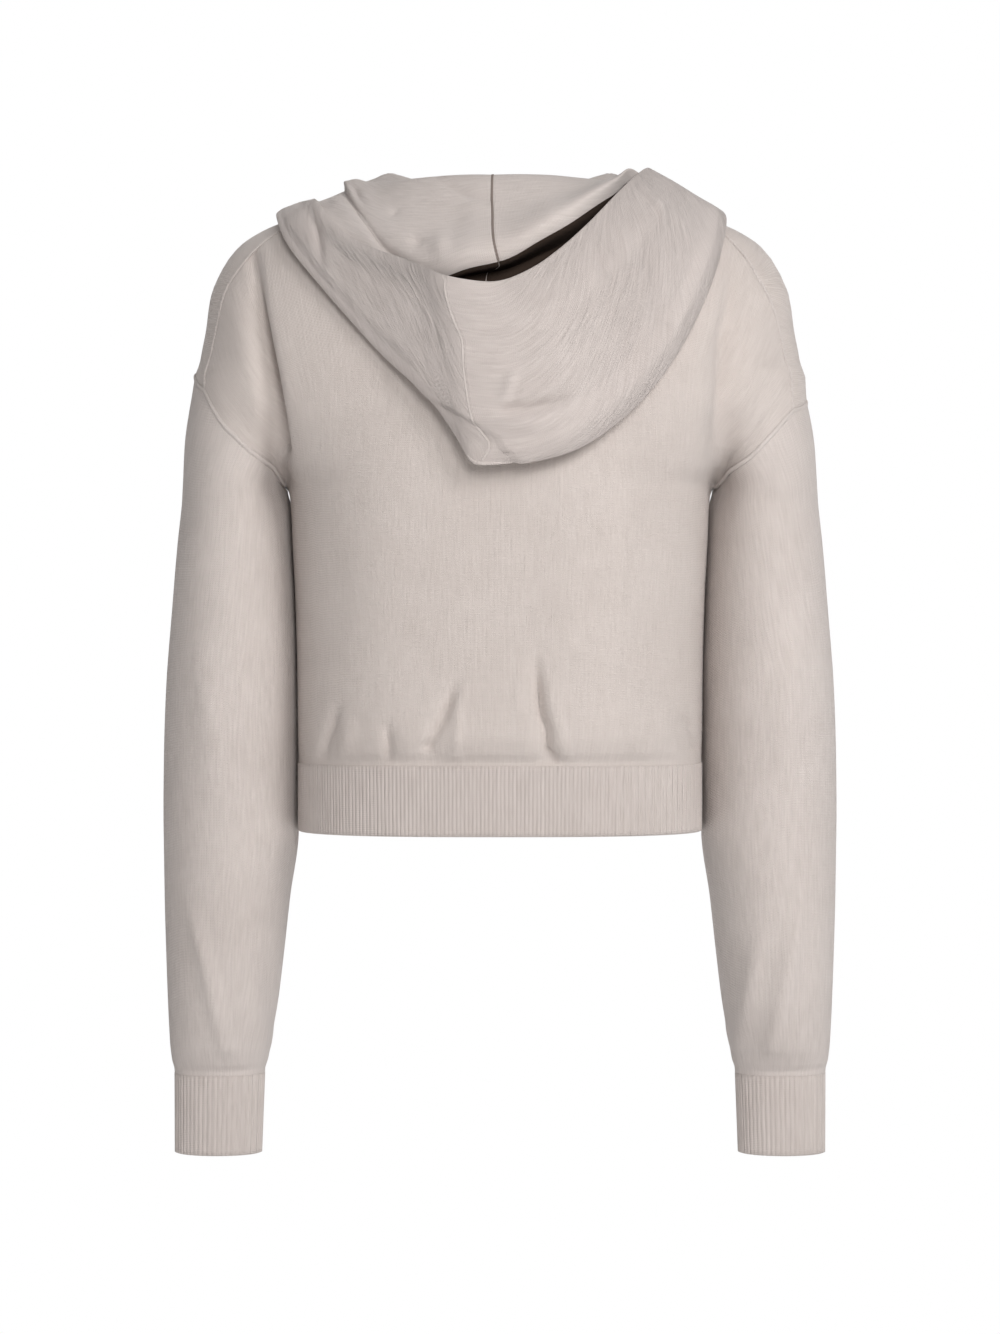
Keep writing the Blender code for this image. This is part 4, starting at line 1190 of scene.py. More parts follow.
def trimmed(
    grid: Grid, closed: bool, edges: str = "low high first last", gap: float = SEAM_GAP,
) -> Grid:
    """Draws the named edges of a grid in.

    Args:
        grid: middle points.
        closed: whether its columns join.
        edges: which edges.
        gap: the seam gap, of which each side takes half.

    Returns:
        The grid with those edges moved.
    """
    grid = grid.copy()
    for edge, row, inner, axis in (("low", 0, 1, 0), ("high", -1, -2, 0), ("first", 0, 1, 1), ("last", -1, -2, 1)):
        if edge not in edges.split() or (axis and closed):
            continue
        a, b = np.take(grid, row, axis), np.take(grid, inner, axis)
        moved = a + unit(b - a) * gap / 2
        if axis:
            grid[:, row] = moved
        else:
            grid[row] = moved
    return grid


# ---- body ----------------------------------------------------------------------------------
@dataclass
class BodyPanels:
    """Back panel and the two fronts, which wrap over the shoulders."""

    heights: tuple[float, ...] = (
        HEM_TOP, -0.405, -0.397, -0.383, -0.355, -0.320, -0.275, -0.240, UNDERARM,
    )
    back_parts: int = 13
    front_parts: int = 9
    back_cut: tuple[float, float] = (0.510, 0.450)
    front_cut: tuple[float, float] = (0.290, 0.450)

    def outward(self, grid: Grid, face: Face) -> Grid:
        """The grid, turned so that its normals point out of the garment."""
        way = Shell("", grid).directions()[len(grid) // 2, grid.shape[1] // 2, 1]
        return grid if way * face.value > 0 else grid[:, ::-1]

    def rows(self, face: Face, begin: float, end: float, columns: int, parts: int) -> Grid:
        """Sections of a panel below the underarm, from the side to a centre x, or side to side."""
        found = []
        for z in finer(self.heights, parts):
            half = float(FORM.column(FORM.body, "half", z))
            found.append(
                FORM.section(z, face, half * begin, end if abs(end) < 0.1 else half * end, columns),
            )
        return np.array(found)

    def panel(self, face: Face, lower: Grid, upper: Grid) -> Grid:
        """Joins the sections to the patch above them, with the folds.

        Args:
            face: back or front.
            lower: sections, hem first.
            upper: patch from the underarm up.

        Returns:
            The panel's grid.
        """
        creases = BACK_CREASES if face is Face.BACK else FRONT_CREASES
        inside = DRAPE.sink(FORM.lay(upper[1:-1, 1:-1]), face, creases)
        upper = upper.copy()
        upper[1:-1, 1:-1] = inside
        return self.outward(np.concatenate([DRAPE.sink(lower, face, creases), upper[1:]]), face)

    def back(self) -> None:
        """Builds the back panel."""
        columns = 2 * (SEAMS.shoulder_steps + SEAMS.neck_steps) + 1
        lower = self.rows(Face.BACK, 1, -1, columns, self.back_parts)
        left, right = (SEAMS.neck(side, 0, NECK_SEAM_DEGREES) for side in Side)
        high = np.concatenate(
            [SEAMS.shoulder(Side.LEFT)[::-1], left[::-1][1:], right[1:], SEAMS.shoulder(Side.RIGHT)[1:]]
        )
        arms = (SEAMS.armhole(side, False)[0] for side in Side)
        upper = patch(lower[-1], high, *arms)
        grid = trimmed(self.panel(Face.BACK, lower, upper), False)
        piece = dressed(Shell("back_panel", grid).build(), "back")

    def front(self, side: Side) -> None:
        """Builds the front of one side."""
        columns = FRONT_SEAMS.shoulder_steps + FRONT_SEAMS.neck_steps + 1
        lower = mirrored(self.rows(Face.FRONT, 1, ZIP_HALF_GAP, columns, self.front_parts), side)
        away = math.degrees(math.asin(ZIP_HALF_GAP / NECK_HALF_WIDTH))
        neck = FRONT_SEAMS.neck(side, 180 - away, NECK_SEAM_DEGREES)
        high = np.concatenate([FRONT_SEAMS.shoulder(side)[::-1], neck[::-1][1:]])
        centre = self.centre_line(side, lower[-1, -1], high[-1])
        upper = patch(lower[-1], high, SEAMS.armhole(side, False)[1], centre)
        grid = trimmed(self.panel(Face.FRONT, lower, upper), False)
        piece = dressed(
            Shell("front_panel_" + side.word, grid).build(), "front_" + side.word,
        )

    def centre_line(self, side: Side, low: Grid, high: Grid) -> Grid:
        """Front edge beside the zip, between two points."""
        count = SEAMS.arm_front_steps + 1
        z = np.linspace(low[2], high[2], count)
        rough = np.stack([np.full(count, ZIP_HALF_GAP), np.full(count, FRONT_START), z], -1)
        line = mirrored(FORM.lay(rough), side)
        line[:, 0] = side.value * ZIP_HALF_GAP
        line[0], line[-1] = low, high
        return line

    def build(self) -> None:
        """Builds the three panels and the seams between them."""
        self.back()
        for side in Side:
            self.front(side)
            self.seams(side)

    def seams(self, side: Side) -> None:
        """Lays the raised shoulder and armhole seams of one side."""
        line = SEAMS.shoulder(side)
        self.bead("shoulder_seam_" + side.word, line)
        back, front = SEAMS.armhole(side, False)
        self.bead("armhole_seam_" + side.word, np.concatenate([back[4:], front[::-1][1:-4]]))

    def bead(self, name: str, line: Grid) -> None:
        """Lays one raised seam along a line of the form."""
        out = FORM.normal(line)
        dressed(SeamBead(name, line + out * WALL * BEAD_SEAT, out).build(), None)


# ---- sleeves -------------------------------------------------------------------------------
@dataclass
class Sleeves:
    """The two sleeve tubes, from the armhole to the cuff."""

    drops: tuple[float, ...] = (
        *(0, 0.014, 0.04, 0.09, 0.16, 0.25, 0.35, 0.45, 0.55),
        *(0.65, 0.75, 0.84, 0.91, 0.955, 0.98, 0.993, 1),
    )
    parts: int = 10
    cut: tuple[float, float] = (0.400, 0.520)

    def ring(self, z: Grid, turn: Grid) -> Grid:
        """Points of the left sleeve at heights and angles from its outer side."""
        inner, outer = FORM.column(FORM.arm, "inner", z), FORM.column(FORM.arm, "outer", z)
        x = (inner + outer) / 2 + (outer - inner) / 2 * np.cos(turn)
        middle, deep = FORM.column(FORM.arm, "middle", z), FORM.column(FORM.arm, "deep", z)
        return np.stack([x, middle + deep * np.sin(turn), z], -1)

    def grid(self, side: Side) -> Grid:
        """Middle points of one sleeve before its creases, left side."""
        back, front = (mirrored(seam, side) for seam in SEAMS.armhole(side, True))
        ring = np.concatenate([back, front[::-1][1:-1]])
        across, depth = FORM.round_arm(ring)
        turn = np.unwrap(np.arctan2(depth, across))
        even = math.pi - np.linspace(0, 2 * math.pi, len(ring) + 1)[:-1]
        turn = turn + (math.pi - turn[0])
        stray = ring - self.ring(ring[:, 2], turn)
        rows = []
        for share in finer(self.drops, self.parts):
            z = ring[:, 2] + (CUFF_TOP - ring[:, 2]) * share
            at = turn + (even - turn) * min(1.0, 3 * share)
            rows.append(self.ring(z, at) + stray * max(0.0, 1 - 5 * share) ** 2)
        return np.array(rows)

    def creased(self, grid: Grid, side: Side) -> Grid:
        """The grid sunk by the sleeve's own creases, which lie on its back or its front."""
        normals = Shell("", grid[:, ::-1], closed=True).directions()[:, ::-1]
        flat = mirrored(grid, side)[..., [0, 2]]
        sunk = np.zeros(grid.shape[:2])
        for face, crease in SLEEVE_CREASES[side]:
            facing = np.clip(normals[..., 1] * face.value * 2.5, 0, 1)
            sunk += crease.strength(flat) * facing
        sunk *= np.clip((grid[..., 2] - CUFF_TOP) / 0.010, 0, 1)
        below = np.linspace(0, 1, len(grid))[:, None]
        sunk *= np.clip(below / 0.03, 0, 1)
        return grid - normals * sunk[..., None]

    def build(self) -> None:
        """Builds both sleeves."""
        for side in Side:
            grid = mirrored(self.creased(self.grid(side), side), side)
            grid = grid if side is Side.RIGHT else grid[:, ::-1]
            shell = Shell("sleeve_tube_" + side.word, trimmed(grid, True), closed=True)
            piece = dressed(shell.build(), "sleeve_" + side.word)


# ---- rib bands -----------------------------------------------------------------------------
@dataclass
class RibBands:
    """Hem band in three stretches and the two cuffs, whose ribs stand out of a plain inside."""

    back_ribs: int = 138
    front_ribs: int = 70
    cuff_ribs: int = 56
    fine: int = 6
    rows: int = 16
    hem_cut: float = 0.052
    cuff_cut: float = 0.058

    def wave(self, ribs: int, ends: int) -> Grid:
        """Rise of the outer points over the ribs: round tops with narrow hollows."""
        turn = np.arange(ribs * self.fine + ends) / self.fine
        return RIB_RISE * np.sqrt(np.abs(np.sin(turn * math.pi)))

    def band(self, face: Face, begin: float, end: float, ribs: int) -> Grid:
        """Middle points of a stretch of the hem band."""
        count = ribs * self.fine + 1
        heights = np.linspace(HEM_BOTTOM, HEM_TOP - SEAM_GAP / 2, self.rows)
        found = [FORM.section(z, face, begin, end, count) for z in heights]
        return trimmed(np.array(found), False, "first last")

    def hem(self, name: str, node: str, face: Face, begin: float, end: float, ribs: int) -> None:
        """Builds one stretch of the hem band.

        Args:
            name: the piece's name.
            node: the CAD node that it stands for.
            face: back or front.
            begin: x of its first edge.
            end: x of its last edge.
            ribs: how many ribs it has.
        """
        grid = self.band(face, begin, end, ribs)
        way = Shell("", grid).directions()[0, grid.shape[1] // 2, 1]
        grid = grid if way * face.value > 0 else grid[:, ::-1]
        shell = Shell(name, grid, RIB_WALL, rise=self.wave(ribs, 1)[None], finishes=(RIB, RIB))
        piece = dressed(shell.build(), node)

    def cuff(self, side: Side) -> None:
        """Builds one cuff."""
        turn = np.linspace(0, 2 * math.pi, self.cuff_ribs * self.fine + 1)[:-1]
        inner, outer, middle, deep = (
            FORM.column(FORM.arm, name, CUFF_TOP) for name in ("inner", "outer", "middle", "deep")
        )
        found = []
        for share in np.linspace(0, 1, self.rows):
            z = CUFF_TOP - SEAM_GAP / 2 + (CUFF_BOTTOM - CUFF_TOP) * share
            draw, lean = 0.0006 + 0.0012 * share, 0.001 * share
            x = (inner + outer) / 2 + lean + ((outer - inner) / 2 - draw) * np.cos(turn)
            found.append(
                np.stack([x, middle + (deep - draw) * np.sin(turn), np.full_like(x, z)], -1),
            )
        grid = mirrored(np.array(found)[::-1], side)
        grid = grid[:, ::-1] if side is Side.RIGHT else grid
        rise = self.wave(self.cuff_ribs, 0)[None]
        shell = Shell("cuff_band_" + side.word, grid, RIB_WALL, True, rise, finishes=(RIB, RIB))
        piece = dressed(shell.build(), "cuff_" + side.word)

    def build(self) -> None:
        """Builds the hem band and both cuffs."""
        half = float(FORM.column(FORM.body, "half", HEM_TOP))
        self.hem("hem_band_back", "hem_back", Face.BACK, half, -half, self.back_ribs)
        for side in Side:
            ends = (side.value * half, side.value * ZIP_HALF_GAP)
            self.hem(
                "hem_band_front_" + side.word, "hem_front_" + side.word, Face.FRONT, *ends,
                self.front_ribs,
            )
            self.cuff(side)


# ---- hood ----------------------------------------------------------------------------------
@dataclass(frozen=True)
class HoodSection:
    """Hood section at an angle of the neck from the centre back.

    top is the fold over the neck, roll the inner wall's roll where it has one, low the lowest
    fold and edge the face edge. bulge is how far the outer wall swells, and bag how much of a
    bag the section is, from 0 for a turned-down collar to 1.
    """

    neck: float
    top: tuple[float, float, float]
    roll: tuple[float, float, float] | None
    low: tuple[float, float, float]
    edge: tuple[float, float, float]
    bulge: float
    bag: float


# The front ends of both halves, turned down as a collar.
HOOD_FRONT = (
    HoodSection(
        136, (0.066, -0.068, -0.026), None, (0.106, -0.056, -0.034), (0.112, -0.048, -0.018),
        0.003, 0.1,
    ),
    HoodSection(
        157, (0.036, -0.092, -0.048), None, (0.062, -0.094, -0.058), (0.074, -0.086, -0.054),
        0.002, 0,
    ),
    HoodSection(
        176, (0.008, -0.103, -0.064), None, (0.018, -0.11, -0.074), (0.026, -0.112, -0.078),
        0.001, 0,
    ),
)
HOOD = {
    Side.RIGHT: (
        HoodSection(
            0, (-0.005, 0.072, 0.004), (-0.022, 0.123, -0.067), (-0.0165, 0.138, -0.205),
            (-0.0375, 0.131, -0.0735), 0.01, 1,
        ),
        HoodSection(
            13, (0.013, 0.071, 0.0045), (0.002, 0.126, -0.062), (0.01, 0.138, -0.2025),
            (-0.0061, 0.138, -0.079), 0.012, 1,
        ),
        HoodSection(
            27, (0.034, 0.067, 0.0045), (0.026, 0.123, -0.048), (0.046, 0.136, -0.1945),
            (0.02, 0.136, -0.07), 0.014, 1,
        ),
        HoodSection(
            41, (0.053, 0.058, 0.004), (0.047, 0.111, -0.034), (0.079, 0.128, -0.174),
            (0.041, 0.124, -0.054), 0.015, 1,
        ),
        HoodSection(
            55, (0.071, 0.046, 0.004), (0.066, 0.092, -0.018), (0.107, 0.112, -0.145),
            (0.062, 0.106, -0.033), 0.014, 1,
        ),
        HoodSection(
            69, (0.084, 0.03, 0.006), (0.0815, 0.069, -0.005), (0.13, 0.09, -0.105),
            (0.08, 0.086, -0.012), 0.011, 1,
        ),
        HoodSection(
            84, (0.092, 0.01, 0.006), (0.093, 0.044, 0.007), (0.15, 0.062, -0.056),
            (0.096, 0.062, 0.006), 0.006, 0.9,
        ),
        HoodSection(
            99, (0.094, -0.012, 0.004), None, (0.156, 0.03, -0.029), (0.106, 0.036, 0.0145),
            0.0015, 0.7,
        ),
        HoodSection(
            116, (0.086, -0.038, -0.006), None, (0.142, -0.006, -0.022), (0.117, 0, 0.006),
            0.001, 0.4,
        ),
        *HOOD_FRONT,
    ),
    Side.LEFT: (
        HoodSection(
            0, (0.005, 0.072, 0.004), (0.022, 0.123, -0.067), (0.0165, 0.138, -0.205),
            (0.0375, 0.131, -0.0735), 0.01, 1,
        ),
        HoodSection(
            13, (0.021, 0.07, 0.0045), (0.044, 0.113, -0.074), (0.032, 0.134, -0.182),
            (0.05, 0.122, -0.067), 0.011, 1,
        ),
        HoodSection(
            27, (0.04, 0.064, 0.0045), (0.063, 0.1, -0.064), (0.055, 0.128, -0.15),
            (0.064, 0.112, -0.06), 0.012, 1,
        ),
        HoodSection(
            41, (0.058, 0.056, 0.004), (0.08, 0.086, -0.052), (0.078, 0.118, -0.128),
            (0.083, 0.098, -0.052), 0.011, 1,
        ),
        HoodSection(
            55, (0.074, 0.044, 0.004), (0.093, 0.068, -0.034), (0.1, 0.1, -0.103),
            (0.102, 0.082, -0.042), 0.009, 1,
        ),
        HoodSection(
            69, (0.086, 0.028, 0.006), (0.104, 0.046, -0.014), (0.121, 0.078, -0.078),
            (0.118, 0.062, -0.026), 0.006, 1,
        ),
        HoodSection(
            84, (0.094, 0.01, 0.006), (0.111, 0.02, 0.002), (0.143, 0.05, -0.048),
            (0.13, 0.036, -0.008), 0.003, 0.9,
        ),
        HoodSection(
            99, (0.095, -0.012, 0.004), (0.112, -0.006, 0.004), (0.153, 0.02, -0.027),
            (0.133, 0.012, -0.004), 0.0015, 0.7,
        ),
        HoodSection(
            116, (0.088, -0.038, -0.004), None, (0.142, -0.012, -0.022), (0.128, -0.014, -0.003),
            0.002, 0.4,
        ),
        *HOOD_FRONT,
    ),
}


@dataclass(frozen=True)
class Layer:
    """Edge of an upper layer of folded cloth; the wall beyond its left side lies lower."""

    path: tuple[tuple[float, float], ...]
    deep: float
    soft: float
    reach: float

    def strength(self, flat: Grid) -> Grid:
        """How far flat places lie under the layer, in metres."""
        path = along(self.path, 60)
        away = flat[..., None, :] - path
        far = np.linalg.norm(away, axis=-1)
        pick = np.argmin(far, axis=-1)
        ahead = unit(np.gradient(path, axis=0))[pick]
        near = np.take_along_axis(away, pick[..., None, None], axis=-2)[..., 0, :]
        beside = near[..., 0] * ahead[..., 1] - near[..., 1] * ahead[..., 0]
        share = eased([0, 0.25, 0.8, 1], [0, 0.8, 1, 0.5], pick / (len(path) - 1))
        fade = np.clip(2 - far.min(axis=-1) / self.reach, 0, 1)
        return self.deep * share * fade * np.clip(0.5 - beside / self.soft, 0, 1)


@dataclass
class Hood:
    """The two hood halves, down over the back and joined by their centre seam."""

    columns: int = 121
    marks: tuple[int, ...] = (0, 2, 5, 6, 9, 13)
    steps: tuple[int, ...] = (12, 48, 14, 22, 100)
    plain_fall: tuple[float, ...] = (0.15, 0.30, 0.36, 0.42)
    deep_shares: tuple[float, ...] = (0.4, 0.8)
    rise_shares: tuple[float, ...] = (0.12, 0.35, 0.68)
    roll_swell: float = 0.003
    roll_high: float = 0.006
    roll_turn: float = 0.006
    roll_lift: float = 0.001
    recess_off: float = 0.005
    layer_off: float = 0.0030
    bag_off: float = 0.0075
    outer_off: float = 0.0090
    hood_off: float = 0.0040
    neck_rise: float = 0.0016
    seam_gap: float = 0.0005
    under_rows: int = 2
    # Columns at each end of the deep rows that take the painted shade.
    left_deep: int = 14
    right_deep: int = 56
    even_rounds: int = 80
    inner_sway: float = 12.0
    cut: tuple[float, float] = (0.270, 0.340)
    cut_area: float = 0.068
    # The centre seam wanders over the outer wall: shares from the low fold to the face edge,
    # and degrees towards the right half.
    sway: tuple[tuple[float, float], ...] = (
        *((0, -2.0), (0.067, 3.7), (0.123, 6.3), (0.185, 4.4), (0.256, 1.6), (0.36, 1.2)),
        *((0.52, 1.5), (0.656, 2.5), (0.76, 0.4), (0.908, -1.5), (1, 0)),
    )

    def depth(self, side: Side) -> tuple[slice, slice]:
        """Rows and columns of a half that lie deep in the bag, under the roll, and take the painted shade."""
        rows = slice(sum(self.steps[:2]) - self.under_rows, self.seat - self.under_rows)
        columns = slice(-self.left_deep, None) if side is Side.LEFT else slice(self.right_deep)
        return rows, columns

    @property
    def seat(self) -> int:
        """Number of the row at the low fold."""
        return sum(self.steps[:-1])

    def fall(self, row: HoodSection, top: Grid, low: Grid) -> list[Grid]:
        """Inner wall from the top fold: its slope, its roll, under the roll and the recess."""
        if row.roll is None:
            return [FORM.clear(top + (low - top) * s, self.layer_off) for s in self.plain_fall]
        roll = np.array(row.roll, float)
        outer = roll + (0, 0, self.roll_high)
        slope = (top + outer) / 2
        slope = FORM.clear(slope + FORM.normal(slope) * self.roll_swell, self.layer_off)
        recess = FORM.lay(roll)
        under = roll - FORM.normal(roll) * self.roll_turn + (0, 0, self.roll_lift)
        return [slope, outer, under, recess + FORM.normal(recess) * self.recess_off]

    def profile(self, row: HoodSection, neck_end: Grid) -> Grid:
        """Middle points of one section.

        Args:
            row: the section's sizes.
            neck_end: its place on the neck seam.

        Returns:
            Points from the neck seam to the face edge.
        """
        top, low, edge = (np.array(p, float) for p in (row.top, row.low, row.edge))
        rise = neck_end + (top - neck_end) * np.array([[0.0], [0.5]])
        inner = self.fall(row, top, low)
        seat = FORM.clear(low, self.bag_off if row.bag > 0.3 else self.layer_off)
        deep = [FORM.clear(inner[-1] + (seat - inner[-1]) * s, self.layer_off) for s in self.deep_shares]
        back_up = []
        for s in self.rise_shares:
            p = seat + (edge - seat) * s
            p = p + FORM.normal(p) * row.bulge * math.sin(math.pi * (0.15 + 0.75 * s))
            back_up.append(
                FORM.clear(p, self.outer_off * row.bag + self.layer_off * (1 - row.bag)),
            )
        return np.array(
            [*rise, top, *inner, *deep, seat, *back_up, FORM.clear(edge, self.layer_off)],
        )

    def rows(self, profile: Grid) -> Grid:
        """Points along a profile with a set number of steps between its marked points."""
        reach = run_of(profile)
        want = [
            np.linspace(reach[a], reach[b], n, endpoint=False)
            for a, b, n in zip(self.marks, self.marks[1:], self.steps)
        ]
        want = np.append(np.concatenate(want), reach[-1])
        return np.stack([eased(reach, profile[:, k], want) for k in range(3)], 1)

    def sections(self) -> tuple[Grid, Grid]:
        """Turns and rows of all sections, from the left end round to the right end."""
        turns, shapes = [], []
        for side, order in ((Side.LEFT, -1), (Side.RIGHT, 1)):
            rows = HOOD[side][:0:-1] if order < 0 else HOOD[side]
            ends = FORM.neck_point([row.neck for row in rows]) + (0, 0, self.neck_rise)
            for row, end in zip(rows, ends):
                turns.append(order * row.neck)
                shapes.append(mirrored(self.rows(self.profile(row, end)), side))
        return np.array(turns, float), np.array(shapes)

    def whole(self) -> Grid:
        """Middle points of both halves as one grid, from left to right."""
        turns, shapes = self.sections()
        rows = shapes.shape[1]
        outer = np.clip((np.arange(rows) - self.seat) / self.steps[-1], 0, 1)
        seam = eased(
            *np.array(self.sway).T, outer,
        ) * np.clip((np.arange(rows) - self.seat) / 3, 0, 1)
        first, roll = self.steps[0], sum(self.steps[:2])
        number = np.arange(rows)
        seam = seam + self.inner_sway * np.interp(
            number, (0, first, roll, self.seat), (0, 0, 1, 0),
        )
        share = np.linspace(0, 1, self.columns)
        left = turns[0] + (seam[:, None] - turns[0]) * share
        right = seam[:, None] + (turns[-1] - seam[:, None]) * share
        want = np.concatenate([left, right[:, 1:]], 1)
        grid = np.empty((*want.shape, 3))
        for r in range(rows):
            for k in range(3):
                grid[r, :, k] = eased(turns, shapes[:, r, k], want[r])
        for _ in range(6):
            grid[1:, 1:-1] = (grid[1:, :-2] + 2 * grid[1:, 1:-1] + grid[1:, 2:]) / 4
        for _ in range(4):
            grid[1:-1] = (grid[:-2] + 2 * grid[1:-1] + grid[2:]) / 4
        grid[1:] = FORM.clear(grid[1:], self.hood_off)
        return self.creased(grid)

    def creased(self, grid: Grid) -> Grid:
        """The grid with the creases of its outer wall and of the wall that shows inside it."""
        normals = Shell("", grid).directions()
        flat = grid[..., [0, 2]]
        number = np.arange(len(grid))[:, None]
        outer = np.clip((number - self.seat) / 3 + 1, 0, 1)
        inner = np.clip((number - self.steps[0]) / 4, 0, 1) * (number < self.seat - self.steps[3])
        sunk = sum(crease.strength(flat) for crease in HOOD_CREASES) * outer
        raised = sum(crease.strength(flat) for crease in HOOD_INNER_CREASES) * inner
        return grid + normals * (raised - sunk)[..., None]

    def build(self) -> None:
        """Builds both halves and the seams that show on them; the inner seam is a dark bead of painted shadow."""
        whole = self.whole()
        normals = Shell("", whole).directions()
        middle = self.columns - 1
        for side, part, edge in (
            (Side.LEFT, slice(0, middle + 1), "last"),
            (Side.RIGHT, slice(middle, None), "first"),
        ):
            grid = trimmed(whole[:, part], False, edge, self.seam_gap)
            flat = Shell("", grid).flat()[..., ::-1]
            for _ in range(self.even_rounds):
                flat[:, 1:-1, 0] = (flat[:, :-2, 0] + 2 * flat[:, 1:-1, 0] + flat[:, 2:, 0]) / 4
            # The third finish is the painted shade deep in the bag.
            shell = Shell(
                "hood_half_" + side.word, grid, normals=normals[:, part], metres=flat,
                finishes=(KNIT_HOOD, KNIT_INSIDE, KNIT_PAINTED_SHADE), deep=self.depth(side),
            )
            piece = dressed(shell.build(), "hood_" + side.word)
        spine, out = whole[:, middle], normals[:, middle]
        # The inner seam is a thin dark bead: painted shadow of the seam's valley.
        for name, rows, way, finish in (
            ("hood_seam_outer", slice(self.seat + 4, None), 1, THREAD),
            ("hood_seam_inner_painted_shadow", slice(2, sum(self.steps[:2])), -1, SEAM_PAINTED_SHADOW),
        ):
            line, lift = spine[rows], out[rows] * way
            bead = SeamBead(
                name, line + lift * WALL * BEAD_SEAT, lift, wide=0.0009, high=0.0004,
                finish=finish,
            )
            dressed(bead.build(), None)


# ---- zip -----------------------------------------------------------------------------------
@dataclass
class Zip:
    """Closed front zip: woven tapes, interlocked teeth, slider, pull tab and stop."""

    behind: float = 0.0002
    pitch: float = 0.0022
    below_neck: float = 0.004
    above_hem: float = 0.0005

    def line(self, x: float, depth: float, heights: Grid) -> Grid:
        """Points up the front at an x, sunk below the cloth's middle by a depth."""
        points = np.stack(
            [np.full(len(heights), x), np.full(len(heights), FRONT_START), heights], -1,
        )
        line = FORM.lay(points)
        line[:, 0] = x
        return line - FORM.normal(line) * depth

    @property
    def sunk(self) -> float:
        """How far the tapes' middle lies behind the cloth's middle."""
        return WALL / 2 + SEAM_GAP + TAPE_WALL / 2 + self.behind

    def heights(self, low: float, count: int) -> Grid:
        """Heights from a low one up to the neck."""
        return np.linspace(low, float(FORM.neck_point(180)[2]) - self.below_neck, count)

    def tapes(self) -> None:
        """Builds the two woven tapes."""
        inner_x = CHAIN_WIDTH / 2 + SEAM_GAP
        heights = self.heights(HEM_BOTTOM + 2 * self.above_hem, 160)
        for side in Side:
            columns = [self.line(
                side.value * x, self.sunk, heights,
            ) for x in inner_x + TAPE_WIDTH * np.linspace(0, 1, 6)]
            grid = np.stack(columns, 1)
            way = Shell("", grid).directions()[80, 3, 1]
            grid = grid if way < 0 else grid[:, ::-1]
            shell = Shell("zip_tape_woven_" + side.word, grid, TAPE_WALL, finishes=(TAPE, TAPE))
            piece = dressed(shell.build(), "zip_tape_" + side.word)

    def tooth(self) -> tuple[Grid, Grid]:
        """One tooth on its own axes: x across, y outwards, z up.

        Returns:
            Its points and its four-cornered faces.
        """
        half, thick, tall = CHAIN_WIDTH / 2, CHAIN_WALL / 2, self.pitch * 0.36
        outline = (
            (-half, 0.5), (-half * 0.2, 0.62), (half * 0.35, 0.9), (half * 0.72, 1.0),
            (half * 0.95, 0.55),
        )
        rings = []
        for x, share in outline:
            z, y = tall * share, thick * (0.75 + 0.25 * share)
            rings.append([(x, -y, -z * 0.7), (x, -y, z * 0.7), (x, -y * 0.6, z), (x, y * 0.6, z)])
            rings[-1] += [(x, y, z * 0.7), (x, y, -z * 0.7), (x, y * 0.6, -z), (x, -y * 0.6, -z)]
        points = np.array(rings).reshape(-1, 3)
        quads = [
            (8 * r + k, 8 * r + (k + 1) % 8, 8 * r + 8 + (k + 1) % 8, 8 * r + 8 + k)
            for r in range(len(outline) - 1)
            for k in range(8)
        ]
        for base in (0, 8 * (len(outline) - 1)):
            cap = [(base, base + 1, base + 2, base + 7), (base + 7, base + 2, base + 3, base + 6)]
            cap.append((base + 6, base + 3, base + 4, base + 5))
            quads += cap if base else [c[::-1] for c in cap]
        return points, np.array(quads)

    def teeth(self) -> None:
        """Builds the chain of interlocked teeth as one piece."""
        points, quads = self.tooth()
        low = HEM_BOTTOM + STOP_HEIGHT + SEAM_GAP + self.pitch / 2
        top = float(FORM.neck_point(180)[2]) - self.below_neck - self.pitch / 2
        count = int((top - low) / (self.pitch / 2))
        heights = np.linspace(low, top, count)
        spine = self.line(0.0, self.sunk, heights)
        ahead = unit(np.gradient(spine, axis=0))
        out = FORM.normal(spine)
        out[:, 0] = 0
        all_points, all_quads = [], []
        for k in range(count):
            turn = 1 if k % 2 else -1
            local = points * (turn, 1, 1)
            placed = spine[k] + local[:, :1] * (1, 0, 0) - local[:, 1:2] * out[k] + local[:, 2:] * ahead[k]
            all_points.append(placed)
            all_quads.append((quads if turn > 0 else quads[:, ::-1]) + len(points) * k)
        all_quads = np.concatenate(all_quads)
        metres = np.zeros((len(all_quads), 4, 2))
        piece = mesh_from(
            "zip_teeth", np.concatenate(
                all_points,
            ), all_quads, metres, np.zeros(len(all_quads)), (METAL,)
        )
        dressed(piece, "zip_chain")

    def carried(self, nodes: dict[str, bpy.types.Object]) -> None:
        """Dresses the slider, pull tab and stop, whose solids show as they are.

        Args:
            nodes: the frame's nodes.
        """
        for name in ("zip_slider", "zip_pull", "zip_stop"):
            node = nodes[name]
            node.data.materials.clear()
            node.data.materials.append(METAL.material())
            bevel = node.modifiers.new("worn_edges", "BEVEL")
            bevel.width, bevel.segments, bevel.limit_method = 0.00018, 2, "ANGLE"

    def build(self, nodes: dict[str, bpy.types.Object]) -> None:
        """Builds the whole zip around the frame's metal nodes."""
        self.tapes()
        self.teeth()
        self.carried(nodes)


